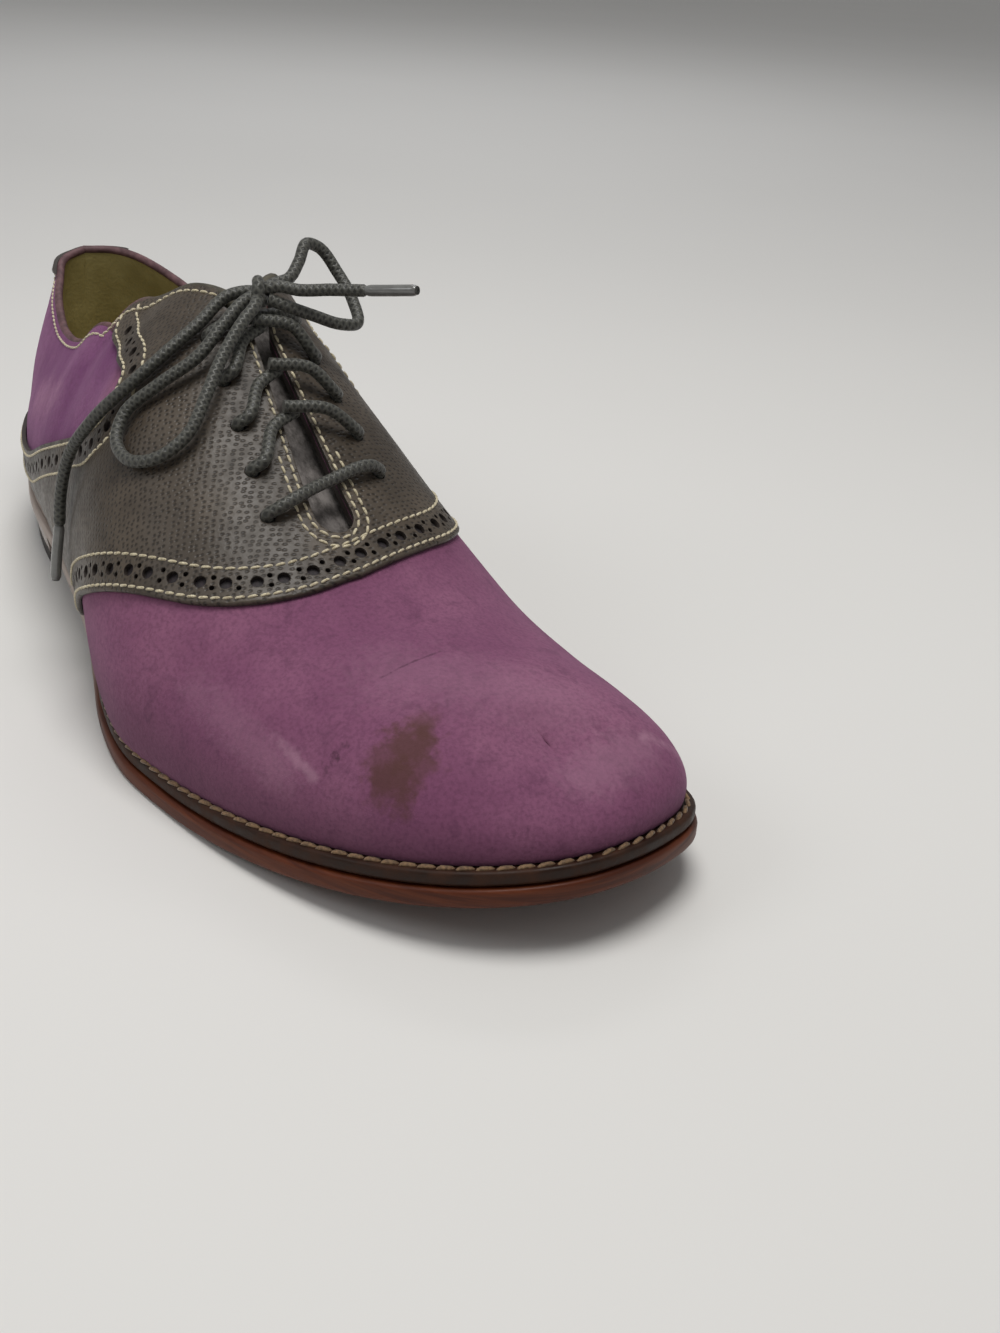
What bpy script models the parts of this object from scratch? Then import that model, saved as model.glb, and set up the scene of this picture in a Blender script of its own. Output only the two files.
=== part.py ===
"""Saddle shoe for the right foot: a lace-up with a contrast saddle, built on a man's last.

Metres, +Z up, +X towards the toe, +Y towards the inner (medial) side of the foot. The origin lies
on the floor, under the middle of the shoe's box.
"""

import math

import bmesh
import bpy
import numpy as np
from mathutils import Vector

# Driving dimensions of the sole
LENGTH = 0.303
BALL_WIDTH = 0.105
HEEL_HEIGHT = 0.0115
HEEL_LENGTH = 0.070
BREAST_HOLLOW = 0.005
HEEL_TAPER = 0.0015
TOP_PIECE = 0.005
OUTSOLE = 0.0045
WELT = 0.0035
WELT_STEP = 0.0008
WELT_REACH = 0.010
EDGE_ROUND = 0.0007
INSOLE = 0.003
TOE_SPRING = 0.013
SHANK_END = 0.188
SPRING_START = 0.212

# Driving dimensions of the upper
BACK_HEIGHT = 0.062
INSTEP_HEIGHT = 0.082
WALL = 0.0018
OVERLAY = 0.0012
GAP = 0.0003
FACING_GAP = 0.0022
THROAT_START = 0.140
THROAT_END = 0.2078
THROAT_RADIUS = 0.0048
TONGUE = 0.002
INSOLE_ROOM = 0.0008

# Driving dimensions of the lacing
LACE = 0.003
EYELET = 0.0038
DRILL_DEPTH = 0.014
PAIRS = 5
CROSS_BACK = 0.0077
LACE_CLEAR = 0.0021
KNOT = 0.0052
AGLET = 0.0026

# The lace holes of each side: x of the one nearest the toe, the step to the next, its distance
# from the throat's edge and what that loses from hole to hole
HOLES = {-1: (0.1994, 0.0108, 0.0102, 0.0000), 1: (0.1920, 0.0097, 0.0120, 0.0009)}

# Each row is one station between the heel's back (0) and the toe's tip (1). Station s lies at
# LENGTH * (1 - cos(pi * s)) / 2 along the sole. Columns: lat is the outer side and med the inner;
# sole is the outsole's half width, inset the step from its edge in to the upper, top_x the share
# of LENGTH where the section's top lies, top the sideways place of that top, up its height above
# the sole, turn how far the section bends over (1 is flat on top), swell how far the flank
# bulges and fill its fullness (2 is an ellipse). Sideways lengths are shares of BALL_WIDTH,
# heights of BACK_HEIGHT up to FACING_STATION and of INSTEP_HEIGHT from there on.
COLUMNS = (
    "station", "sole_lat", "sole_med", "inset", "top_x", "top_lat", "up_lat", "top_med", "up_med",
    "turn", "swell_lat", "swell_med", "fill",
)
LAST = (
    (0.00, 0.000, 0.000, 0.014, 0.003, 0.000, 0.985, 0.000, 0.985, 0.40, 0.018, 0.018, 2.00),
    (0.07, 0.138, 0.144, 0.014, 0.017, 0.080, 0.950, 0.092, 0.988, 0.40, 0.012, 0.018, 2.00),
    (0.14, 0.232, 0.240, 0.014, 0.050, 0.122, 0.893, 0.150, 0.972, 0.40, 0.006, 0.018, 2.00),
    (0.21, 0.297, 0.298, 0.015, 0.108, 0.176, 0.832, 0.200, 0.918, 0.40, 0.012, 0.019, 2.00),
    (0.28, 0.342, 0.316, 0.016, 0.182, 0.218, 0.780, 0.232, 0.853, 0.40, 0.030, 0.020, 2.00),
    (0.34, 0.365, 0.302, 0.018, 0.256, 0.234, 0.830, 0.240, 0.850, 0.42, 0.050, 0.022, 2.00),
    (0.40, 0.388, 0.278, 0.018, 0.330, 0.216, 1.005, 0.220, 1.015, 0.46, 0.066, 0.026, 1.90),
    (0.44, 0.407, 0.268, 0.016, 0.396, 0.167, 0.920, 0.170, 0.930, 0.58, 0.068, 0.032, 1.85),
    (0.465, 0.424, 0.275, 0.013, 0.446, 0.108, 1.027, 0.090, 1.042, 0.76, 0.064, 0.036, 1.85),
    (0.50, 0.462, 0.305, 0.010, 0.500, 0.032, 1.015, -0.032, 1.015, 1.00, 0.058, 0.040, 1.96),
    (0.55, 0.516, 0.362, 0.008, 0.578, 0.038, 0.840, -0.038, 0.840, 1.00, 0.046, 0.034, 2.12),
    (0.60, 0.536, 0.425, 0.010, 0.654, 0.045, 0.650, -0.045, 0.650, 1.00, 0.034, 0.026, 2.12),
    (0.64, 0.511, 0.462, 0.017, 0.713, 0.047, 0.515, -0.047, 0.515, 1.00, 0.027, 0.022, 2.12),
    (0.70, 0.455, 0.484, 0.026, 0.790, 0.030, 0.418, -0.030, 0.418, 1.00, 0.020, 0.018, 2.14),
    (0.76, 0.378, 0.477, 0.032, 0.849, -0.010, 0.373, 0.010, 0.373, 1.00, 0.018, 0.016, 2.16),
    (0.82, 0.284, 0.446, 0.035, 0.885, -0.042, 0.331, 0.042, 0.331, 1.00, 0.016, 0.016, 2.30),
    (0.88, 0.175, 0.378, 0.036, 0.902, -0.060, 0.286, 0.060, 0.286, 1.00, 0.016, 0.016, 2.45),
    (0.94, 0.050, 0.235, 0.035, 0.913, -0.072, 0.252, 0.072, 0.252, 1.00, 0.016, 0.016, 2.50),
    (1.00, -0.079, 0.079, 0.034, 0.918, -0.078, 0.232, 0.078, 0.232, 1.00, 0.016, 0.016, 2.50),
)
FACING_STATION = 0.42
RIDGE_STATION = 0.50
TOE_STATION = 0.80

# The saddle's front edge on each side, as pairs of a station and a height share from the sole (0)
# up to the ridge (1)
FRONT_EDGE = {
    -1: ((0.466, 0.00), (0.545, 0.235), (0.589, 0.410), (0.620, 0.547), (0.639, 0.693),
         (0.6475, 0.855), (0.6450, 1.00)),
    1: ((0.466, 0.00), (0.530, 0.235), (0.570, 0.380), (0.600, 0.520), (0.6162, 0.633),
        (0.6275, 0.755), (0.6362, 0.873), (0.6450, 1.00)),
}

# The edge of the open quarter behind the saddle, seen from the side: pairs of x as a share of
# LENGTH and z as a share of BACK_HEIGHT, from behind the heel along the foxing to the bend and
# back up over the topline
QUARTER_EDGE = (
    (-0.066, 0.532), (0.033, 0.532), (0.119, 0.548), (0.228, 0.610), (0.340, 0.819),
    (0.419, 0.971), (0.470, 1.089), (0.488, 1.177), (0.479, 1.261), (0.429, 1.298),
    (0.376, 1.347), (0.343, 1.613), (0.323, 1.935), (-0.066, 1.935),
)

# The backstay seen from behind: pairs of its height above the floor, as a share of BACK_HEIGHT,
# and its half width, as a share of BALL_WIDTH
BACKSTAY = (
    (0.735, 0.048), (0.90, 0.050), (1.06, 0.057), (1.19, 0.085), (1.31, 0.119), (1.50, 0.133),
)

# The tongue's drop below the upper at each station, and the height share of its side edges
TONGUE_DROP = ((0.464, 0.0040), (0.57, 0.0036), (0.61, 0.0020), (0.645, 0.0006))
TONGUE_EDGE = 0.65

# Sampling: every wall on the last is made at the same stations and height shares
STATIONS = sorted(set(np.round(np.linspace(0.0, 1.0, 29), 5)) | {0.475, 0.485})
SHARES = np.round(np.linspace(0.0, 1.0, 11), 5)
SOLE_STATIONS = np.linspace(0.0, 1.0, 29)
PATTERN_ROWS = 17
PATTERN_COLUMNS = 21
CUT_DEPTH = 0.004
CUT_REACH = 0.006
CUT_STEP = 0.006
SEAT_ROOM = 0.002
THROAT_DROP = 0.010
BACKSTAY_REACH = 0.020

# The route of each free stretch of lace, chosen by hand: x, y, z from the heel's back, the
# shoe's axis and the floor
KNOT_ROUTE = ((0.1560, -0.0058, 0.1013), (0.1565, -0.0038, 0.1015), (0.1570, -0.0018, 0.1017))
LATERAL_LOOP = (
    (0.1585, -0.0082, 0.0995), (0.1618, -0.0145, 0.0955), (0.1641, -0.0218, 0.0890),
    (0.1627, -0.0312, 0.0826), (0.1601, -0.0394, 0.0752), (0.1639, -0.0428, 0.0703),
    (0.1715, -0.0424, 0.0678), (0.1775, -0.0378, 0.0696), (0.1787, -0.0306, 0.0748),
    (0.1750, -0.0246, 0.0820), (0.1694, -0.0184, 0.0890), (0.1648, -0.0112, 0.0960),
    (0.1618, -0.0064, 0.0994),
)
MEDIAL_LOOP = (
    (0.1548, 0.0010, 0.1024), (0.1537, 0.0060, 0.1034), (0.1510, 0.0098, 0.1066),
    (0.1480, 0.0134, 0.1104), (0.1474, 0.0168, 0.1092), (0.1505, 0.0208, 0.1032),
    (0.1566, 0.0220, 0.0978), (0.1622, 0.0206, 0.0930), (0.1628, 0.0160, 0.0934),
    (0.1618, 0.0090, 0.0958), (0.1606, 0.0016, 0.0986),
)
LATERAL_END = (
    (0.1532, -0.0088, 0.1004), (0.1550, -0.0184, 0.0940), (0.1558, -0.0322, 0.0840),
    (0.1490, -0.0438, 0.0710), (0.1402, -0.0480, 0.0588), (0.1374, -0.0498, 0.0475),
    (0.1377, -0.0505, 0.0410),
)
MEDIAL_END = (
    (0.1590, 0.0004, 0.1028), (0.1622, 0.0048, 0.1024), (0.1672, 0.0108, 0.1032),
    (0.1740, 0.0168, 0.1041),
)
LATERAL_AGLET = ((0.1377, -0.0506, 0.0406), (0.1380, -0.0518, 0.0332), (0.1384, -0.0528, 0.0258))
MEDIAL_AGLET = ((0.1744, 0.0171, 0.1042), (0.1808, 0.0206, 0.1054), (0.1872, 0.0242, 0.1066))


def material(name, colour, roughness):
    made = bpy.data.materials.new(name)
    made.use_nodes = True
    shader = made.node_tree.nodes["Principled BSDF"]
    shader.inputs["Base Color"].default_value = (*colour, 1.0)
    shader.inputs["Roughness"].default_value = roughness
    return made


def smooth(knots, values, at):
    """A smooth curve through the values: cubic pieces with slopes from the neighbours."""
    k = int(np.clip(np.searchsorted(knots, at, side="right") - 1, 0, len(knots) - 2))
    slopes = np.diff(values) / np.diff(knots)

    def slope(i):
        if i == 0 or i == len(knots) - 1:
            return slopes[min(i, len(slopes) - 1)]
        before, after = knots[i] - knots[i - 1], knots[i + 1] - knots[i]
        return (slopes[i - 1] * after + slopes[i] * before) / (before + after)

    step = knots[k + 1] - knots[k]
    t = (at - knots[k]) / step
    rise = t * t * (3 - 2 * t)
    start = (t - 1) ** 2 * t * step * slope(k)
    end = t * t * (t - 1) * step * slope(k + 1)
    return values[k] + (values[k + 1] - values[k]) * rise + start + end


TABLE = {name: np.array([row[i] for row in LAST], float) for i, name in enumerate(COLUMNS)}


def last(column, station):
    return float(smooth(TABLE["station"], TABLE[column], min(max(station, 0.0), 1.0)))


def through(pairs, at):
    knots = np.array([pair[0] for pair in pairs], float)
    values = np.array([pair[1] for pair in pairs], float)
    return float(smooth(knots, values, at))


def ease(t):
    t = min(max(t, 0.0), 1.0)
    return t * t * (3 - 2 * t)


def sole_bottom(x):
    """Height of the outsole's underside above the floor."""
    seat_end = HEEL_LENGTH + SEAT_ROOM
    if x < SHANK_END:
        return HEEL_HEIGHT * (1.0 - ease((x - seat_end) / (SHANK_END - seat_end)))
    share = max(x - SPRING_START, 0.0) / (LENGTH - SPRING_START)
    return TOE_SPRING * share ** 1.8


def sole_top(x):
    """Height where the upper meets the welt."""
    return sole_bottom(x) + OUTSOLE + GAP + WELT + GAP


def side_word(side):
    return "lat" if side < 0 else "med"


def outline(side, station):
    """A point on the outsole's edge. side is -1 for the outer and 1 for the inner half."""
    x = LENGTH * (1 - math.cos(math.pi * station)) / 2
    y = side * last("sole_" + side_word(side), station) * BALL_WIDTH
    return np.array((x, y))


def outward(side, station):
    """The outline's outward direction in plan."""
    step = 0.004
    before, after = max(station - step, 0.0), min(station + step, 1.0)
    along = outline(side, after) - outline(side, before)
    if station == 0.0:
        along = np.array((0.0, side))
    if station == 1.0:
        along = np.array((0.0, -side))
    normal = np.array((along[1], -along[0])) * -side
    return normal / np.linalg.norm(normal)


def inset_outline(side, station, inset):
    return outline(side, station) - outward(side, station) * inset


def top_point(side, station):
    word = side_word(side)
    x = last("top_x", station) * LENGTH
    y = side * last("top_" + word, station) * BALL_WIDTH
    blend = ease((station - FACING_STATION + 0.02) / 0.04)
    height = BACK_HEIGHT * (1 - blend) + INSTEP_HEIGHT * blend
    return np.array((x, y, sole_top(x) + last("up_" + word, station) * height))


def ridge_slope(station):
    """How steeply the top line over the forefoot falls towards the toe."""
    if station < RIDGE_STATION:
        return 0.0
    before = top_point(1, min(station, TOE_STATION) - 0.005)
    after = top_point(1, min(station, TOE_STATION) + 0.005)
    return (after[2] - before[2]) / (after[0] - before[0])


def on_last(side, station, share):
    """A point of the upper's outer face at a height share of its section."""
    word = side_word(side)
    foot = inset_outline(side, station, last("inset", station) * BALL_WIDTH)
    foot = np.array((*foot, sole_top(foot[0])))
    top = top_point(side, station)
    power = 2 / last("fill", station)
    end = min(last("turn", station), 1.0) * math.pi / 2
    angle = share * end
    in_share = 1 - max(math.cos(angle), 0.0) ** power
    in_share /= 1 - max(math.cos(end), 0.0) ** power
    up_share = math.sin(angle) ** power / math.sin(end) ** power
    lean = ridge_slope(station) * (top[0] - foot[0])
    bulge = last("swell_" + word, station) * BALL_WIDTH * math.sin(math.pi * share ** 0.8)
    place = foot + (top - foot) * in_share
    place[2] = foot[2] + (top[2] - foot[2] - lean) * up_share + lean * in_share
    place[:2] += outward(side, station) * bulge
    return place


def facing_out(side, station, share):
    """The upper's outward direction at a point."""
    if share >= 1.0 and station >= RIDGE_STATION:
        normal = np.array((-ridge_slope(station), 0.0, 1.0))
        return normal / np.linalg.norm(normal)
    step = 0.003
    low, high = max(share - step, 0.0), min(share + step, 1.0)
    up = on_last(side, station, high) - on_last(side, station, low)
    before, after = max(station - step, 0.0), min(station + step, 1.0)
    along = on_last(side, after, share) - on_last(side, before, share)
    if station == 0.0:
        along = np.array((0.0, side, 0.0))
    if station == 1.0:
        along = np.array((0.0, -side, 0.0))
    normal = np.cross(along, up) * -side
    if share == 0.0:
        normal[2] = 0.0
    return normal / np.linalg.norm(normal)


def off_last(side, station, share, offset):
    return on_last(side, station, share) + facing_out(side, station, share) * offset


def new_object(name, mesh, finish):
    mesh.materials.append(finish)
    made = bpy.data.objects.new(name, mesh)
    bpy.context.scene.collection.objects.link(made)
    return made


def finish_mesh(name, bm, finish, sharp=35.0):
    bmesh.ops.recalc_face_normals(bm, faces=bm.faces)
    mesh = bpy.data.meshes.new(name)
    bm.to_mesh(mesh)
    bm.free()
    mesh.shade_smooth()
    mesh.set_sharp_from_angle(angle=math.radians(sharp))
    return new_object(name, mesh, finish)


def solid_from_faces(name, points, faces, finish, sharp=35.0):
    """points maps a key to a place, and faces lists tuples of keys."""
    bm = bmesh.new()
    verts = {}
    for face in faces:
        for key in face:
            if key not in verts:
                verts[key] = bm.verts.new(points[key])
        bm.faces.new([verts[key] for key in face])
    return finish_mesh(name, bm, finish, sharp)


def skin(name, grids, inner, outer, finish, spare=0.0):
    """A wall on the last. Each grid is a side and rows of (station, share) points.

    The two sides are one surface at the heel's back, at the toe's tip and along the ridge, so
    the walls that would lie there between them cancel out. A cutter runs past the wall's bottom
    and top edges by the spare length.
    """
    points, faces = {}, {}

    def key(side, place, layer):
        station, share = round(place[0], 6), round(place[1], 6)
        shared = station in (0.0, 1.0) or (share == 1.0 and station >= RIDGE_STATION)
        made = (0 if shared else side, station, share, layer)
        if made not in points:
            points[made] = off_last(side, station, share, outer if layer else inner)
            if share == 0.0:
                points[made][2] -= spare
            elif share == 1.0 and not shared:
                points[made][2] += spare
        return made

    def face(corners):
        found = frozenset(corners)
        if found in faces:
            del faces[found]
        elif len(found) > 2:
            faces[found] = list(dict.fromkeys(corners))

    for side, rows in grids:
        last_row, last_col = len(rows) - 1, len(rows[0]) - 1
        for r in range(last_row):
            for c in range(last_col):
                a, b = rows[r][c], rows[r][c + 1]
                d, e = rows[r + 1][c], rows[r + 1][c + 1]
                for layer in (0, 1):
                    face([key(side, place, layer) for place in (a, b, e)])
                    face([key(side, place, layer) for place in (a, e, d)])
        border = [(rows[0][c], rows[0][c + 1]) for c in range(last_col)]
        border += [(rows[last_row][c], rows[last_row][c + 1]) for c in range(last_col)]
        border += [(rows[r][0], rows[r + 1][0]) for r in range(last_row)]
        border += [(rows[r][last_col], rows[r + 1][last_col]) for r in range(last_row)]
        for a, b in border:
            face([key(side, a, 0), key(side, b, 0), key(side, b, 1), key(side, a, 1)])
    return solid_from_faces(name, points, faces.values(), finish)


def sheet(name, outer, inner, finish):
    """A closed plate between two grids of points."""
    points = {}
    rows, cols = len(outer), len(outer[0])
    for layer, grid in enumerate((inner, outer)):
        for r in range(rows):
            for c in range(cols):
                points[(layer, r, c)] = grid[r][c]
    faces = []
    for layer in (0, 1):
        for r in range(rows - 1):
            for c in range(cols - 1):
                faces.append([(layer, r, c), (layer, r, c + 1), (layer, r + 1, c + 1), (layer, r + 1, c)])
    rim = [(0, c) for c in range(cols)] + [(r, cols - 1) for r in range(1, rows)]
    rim += [(rows - 1, c) for c in range(cols - 2, -1, -1)] + [(r, 0) for r in range(rows - 2, 0, -1)]
    for a, b in zip(rim, rim[1:] + rim[:1]):
        faces.append([(0, *a), (0, *b), (1, *b), (1, *a)])
    return solid_from_faces(name, points, faces, finish)


def sole_plate(name, rings, finish, hole=None):
    """A plate in the sole's outline. Each ring is an inset in from the edge and a height.

    The height is a function of x, and an inset may be a function of the station. The plate is
    closed by strips across it, or left open inside its last ring, which then meets the first.
    """
    points, faces = {}, []
    count = len(SOLE_STATIONS)
    for r, (inset, height) in enumerate(rings):
        for side in (-1, 1):
            for i, station in enumerate(SOLE_STATIONS):
                shared = i in (0, count - 1)
                key = (r, 0 if shared else side, i)
                room = inset(station) if callable(inset) else inset
                place = inset_outline(side, station, room)
                points[key] = (place[0], place[1], height(place[0]))

    def at(r, side, i):
        return (r, 0 if i in (0, count - 1) else side, i)

    pairs = list(zip(range(len(rings)), range(1, len(rings))))
    if hole:
        pairs.append((len(rings) - 1, 0))
    for a, b in pairs:
        for side in (-1, 1):
            for i in range(count - 1):
                corners = [at(a, side, i), at(a, side, i + 1), at(b, side, i + 1), at(b, side, i)]
                faces.append(corners)
    if not hole:
        for r in (0, len(rings) - 1):
            for i in range(count - 1):
                corners = [at(r, -1, i), at(r, -1, i + 1), at(r, 1, i + 1), at(r, 1, i)]
                faces.append(list(dict.fromkeys(corners)))
    return solid_from_faces(name, points, faces, finish)


def heel_block(name, levels, finish):
    """A heel layer: levels are an inset and a height each."""
    bm = bmesh.new()
    breast_station = math.acos(1 - 2 * HEEL_LENGTH / LENGTH) / math.pi
    stations = np.linspace(0.0, breast_station, 9)
    loops = []
    for inset, height in levels:
        plan = [inset_outline(-1, s, inset) for s in stations[::-1]]
        plan += [inset_outline(1, s, inset) for s in stations[1:]]
        start, end = plan[-1], plan[0]
        for t in np.linspace(0.0, 1.0, 8)[1:-1]:
            place = start + (end - start) * t
            place[0] -= BREAST_HOLLOW * math.sin(math.pi * t)
            plan.append(place)
        loops.append([bm.verts.new((*place, height)) for place in plan])
    for low, high in zip(loops, loops[1:]):
        for i in range(len(low)):
            j = (i + 1) % len(low)
            bm.faces.new((low[i], low[j], high[j], high[i]))
    bm.faces.new(loops[0])
    bm.faces.new(loops[-1])
    return finish_mesh(name, bm, finish)


def front_pattern(side):
    """The part of one side that lies behind the saddle's front edge, as rows of grid points."""
    front_at = [(pair[1], pair[0]) for pair in FRONT_EDGE[side]]
    rows = []
    for share in np.linspace(0.0, 1.0, PATTERN_ROWS):
        end = through(front_at, share)
        rows.append([(station, share) for station in np.linspace(0.0, end, PATTERN_COLUMNS)])
    return [(side, rows)]


def prism(name, plan, reach, finish):
    """A closed outline of points, drawn out by a reach."""
    bm = bmesh.new()
    base = bm.faces.new([bm.verts.new(place) for place in plan])
    top = bmesh.ops.extrude_face_region(bm, geom=[base])
    moved = [v for v in top["geom"] if isinstance(v, bmesh.types.BMVert)]
    bmesh.ops.translate(bm, verts=moved, vec=reach)
    return finish_mesh(name, bm, finish)


def quarter_cutter(side, finish):
    """A prism along Y in the side view's shape of the quarter that the saddle leaves open."""
    edge = [(x * LENGTH, 0.0, z * BACK_HEIGHT) for x, z in QUARTER_EDGE]
    plan = smooth_path(edge[:-3], CUT_STEP) + [np.array(place) for place in edge[-3:]]
    reach = (0.0, side * BALL_WIDTH, 0.0)
    return prism("quarter_cutter_" + side_word(side), plan, reach, finish)


def backstay_pattern(finish):
    """A prism along X in the rear view's shape of the backstay."""
    edge = smooth_path([(0.0, w * BALL_WIDTH, z * BACK_HEIGHT) for z, w in BACKSTAY], CUT_STEP)
    start = np.array((-CUT_REACH, 0.0, 0.0))
    plan = [start + place for place in edge]
    plan += [start + place * (1.0, -1.0, 1.0) for place in edge[::-1]]
    return prism("backstay_pattern", plan, (CUT_REACH + BACKSTAY_REACH, 0.0, 0.0), finish)


def cutter(made):
    made.hide_render = True
    made.display_type = "WIRE"
    made.hide_set(True)
    return made


def cut_by(target, tool, kind="DIFFERENCE"):
    boolean = target.modifiers.new(tool.name, "BOOLEAN")
    boolean.operation = kind
    boolean.object = tool
    boolean.solver = "EXACT"


def ridge_at(x):
    """The station whose section tops out at x, on the front of the shoe."""
    stations = np.linspace(0.40, 0.95, 56)
    return float(np.interp(x, [last("top_x", s) * LENGTH for s in stations], stations))


def ridge_y(x):
    station = ridge_at(x)
    return float(top_point(1, station)[1] + top_point(-1, station)[1]) / 2


def throat_half(x):
    """Half the width of the open throat."""
    full = THROAT_END - THROAT_RADIUS
    share = min(max((x - THROAT_START) / (full - THROAT_START), 0.0), 1.0)
    return FACING_GAP / 2 + (THROAT_RADIUS - FACING_GAP / 2) * share


def throat_cutter(finish):
    """A prism in the plan shape of the open throat: a slot that widens to a round end."""
    full = THROAT_END - THROAT_RADIUS
    places = np.linspace(THROAT_START - 0.02, full, 8)
    one_edge = [(x, ridge_y(x) + throat_half(x)) for x in places]
    other_edge = [(x, ridge_y(x) - throat_half(x)) for x in places[::-1]]
    turn = np.linspace(0.0, math.pi, 9)[1:-1]
    arc = [(full + THROAT_RADIUS * math.sin(a), ridge_y(full) + THROAT_RADIUS * math.cos(a))
           for a in turn]
    low = sole_top(full) + INSOLE + THROAT_DROP
    plan = [(*place, low) for place in one_edge + arc + other_edge]
    return prism("throat_cutter", plan, (0.0, 0.0, INSTEP_HEIGHT * 1.5), finish)


def share_at(side, station, sideways):
    """The height share where a section lies a given distance to the side of the ridge."""
    middle = ridge_y(top_point(side, station)[0])
    shares = np.linspace(1.0, 0.4, 61)
    away = [abs(on_last(side, station, share)[1] - middle) for share in shares]
    return float(np.interp(sideways, away, shares))


def eyelet(side, pair):
    """Place and outward direction of a lace hole on the saddle. Pair 0 is nearest the toe."""
    first, step, room, less = HOLES[side]
    x = first - pair * step
    station = ridge_at(x)
    share = share_at(side, station, throat_half(x) + room - pair * less)
    out = facing_out(side, station, share)
    return off_last(side, station, share, GAP + OVERLAY), out


def drill(name, place, direction, finish):
    bm = bmesh.new()
    bmesh.ops.create_cone(bm, cap_ends=True, segments=10, radius1=EYELET / 2, radius2=EYELET / 2,
                          depth=DRILL_DEPTH)
    turn = Vector(direction).to_track_quat("Z", "Y").to_matrix()
    bmesh.ops.rotate(bm, verts=bm.verts, cent=(0.0, 0.0, 0.0), matrix=turn)
    bmesh.ops.translate(bm, verts=bm.verts, vec=Vector(place))
    return finish_mesh(name, bm, finish)


def make_tongue(finish):
    """The tongue follows the upper's inner face under the throat, lower where laces pass."""
    grids = ([], [])
    knots = np.array([row[0] for row in TONGUE_DROP])
    drops = np.array([row[1] for row in TONGUE_DROP])
    shares = [share for share in SHARES if share > TONGUE_EDGE]
    for station in [s for s in STATIONS if knots[0] <= s <= knots[-1]]:
        drop = float(np.interp(station, knots, drops))
        for grid, depth in zip(grids, (0.0, TONGUE)):
            offset = -(WALL + drop + depth)
            row = [off_last(-1, station, share, offset) for share in shares]
            other = [off_last(1, station, share, offset) for share in shares[::-1]]
            grid.append(row[:-1] + [(row[-1] + other[0]) / 2] + other[1:])
    return sheet("tongue", grids[0], grids[1], finish)


def smooth_path(points, step):
    """Points about a step apart on a smooth curve through a few chosen ones."""
    places = np.array(points, float)
    knots = np.concatenate([[0.0], np.cumsum(np.linalg.norm(np.diff(places, axis=0), axis=1))])
    count = max(int(round(knots[-1] / step)), 3)
    stops = np.linspace(0.0, knots[-1], count + 1)
    return [np.array([smooth(knots, places[:, axis], at) for axis in range(3)]) for at in stops]


def tube(name, points, radius, finish, sides=8):
    """A closed round bar along a path, as a mesh."""
    bm = bmesh.new()
    rings = []
    places = [Vector(point) for point in points]
    up = Vector((0.0, 0.0, 1.0))
    for k, place in enumerate(places):
        ahead = (places[min(k + 1, len(places) - 1)] - places[max(k - 1, 0)]).normalized()
        across = ahead.cross(up) if k == 0 else across - ahead * across.dot(ahead)
        across.normalize()
        other = ahead.cross(across)
        turns = [2 * math.pi * i / sides for i in range(sides)]
        rings.append([bm.verts.new(place + (across * math.cos(a) + other * math.sin(a)) * radius)
                      for a in turns])
    for low, high in zip(rings, rings[1:]):
        for i in range(sides):
            j = (i + 1) % sides
            bm.faces.new((low[i], low[j], high[j], high[i]))
    bm.faces.new(rings[0])
    bm.faces.new(rings[-1])
    return finish_mesh(name, bm, finish, 60.0)


def cord(name, points, finish, radius=LACE / 2):
    """A free stretch of lace: a round bevelled curve with closed ends."""
    curve = bpy.data.curves.new(name, "CURVE")
    curve.dimensions = "3D"
    curve.bevel_depth = radius
    curve.bevel_resolution = 2
    curve.use_fill_caps = True
    places = smooth_path(points, LACE * 2.5)
    spline = curve.splines.new("POLY")
    spline.points.add(len(places) - 1)
    for point, place in zip(spline.points, places):
        point.co = (*place, 1.0)
    curve.materials.append(finish)
    made = bpy.data.objects.new(name, curve)
    bpy.context.scene.collection.objects.link(made)
    return made


def facing_edge(side, x, lift, past=0.0):
    """A point over the edge of the throat at x, lifted above the saddle and past the edge."""
    station = ridge_at(x)
    share = share_at(side, station, throat_half(x) + past)
    return off_last(side, station, share, GAP + OVERLAY + lift)


def strand_start(side, pair):
    """The first points of a strand: up out of its lace hole and round towards the throat."""
    place, out = eyelet(side, pair)
    inward = facing_edge(side, place[0], 0.0) - place
    inward /= np.linalg.norm(inward)
    return [place - out * LACE * 0.5, place + out * LACE * 0.3,
            place + out * LACE_CLEAR + inward * LACE * 0.6]


def lace_bar(finish):
    """The straight bar between the two lace holes nearest the toe."""
    lateral, medial = strand_start(-1, 0), strand_start(1, 0)
    middle = (lateral[2] + medial[2]) / 2 + np.array((0.0, 0.0, LACE * 0.5))
    points = lateral + [middle] + medial[::-1]
    return tube("lace_bar", smooth_path(points, LACE * 0.8), LACE / 2, finish)


def lace_under_knot(finish):
    """The strands of the top pair of lace holes, which meet under the knot."""
    lateral, medial = strand_start(-1, PAIRS - 1), strand_start(1, PAIRS - 1)
    middle = (lateral[2] + medial[2]) / 2 + np.array((0.0, 0.0, LACE * 0.45))
    points = lateral + [middle] + medial[::-1]
    return tube("lace_under_knot", smooth_path(points, LACE * 0.8), LACE / 2, finish)


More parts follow.
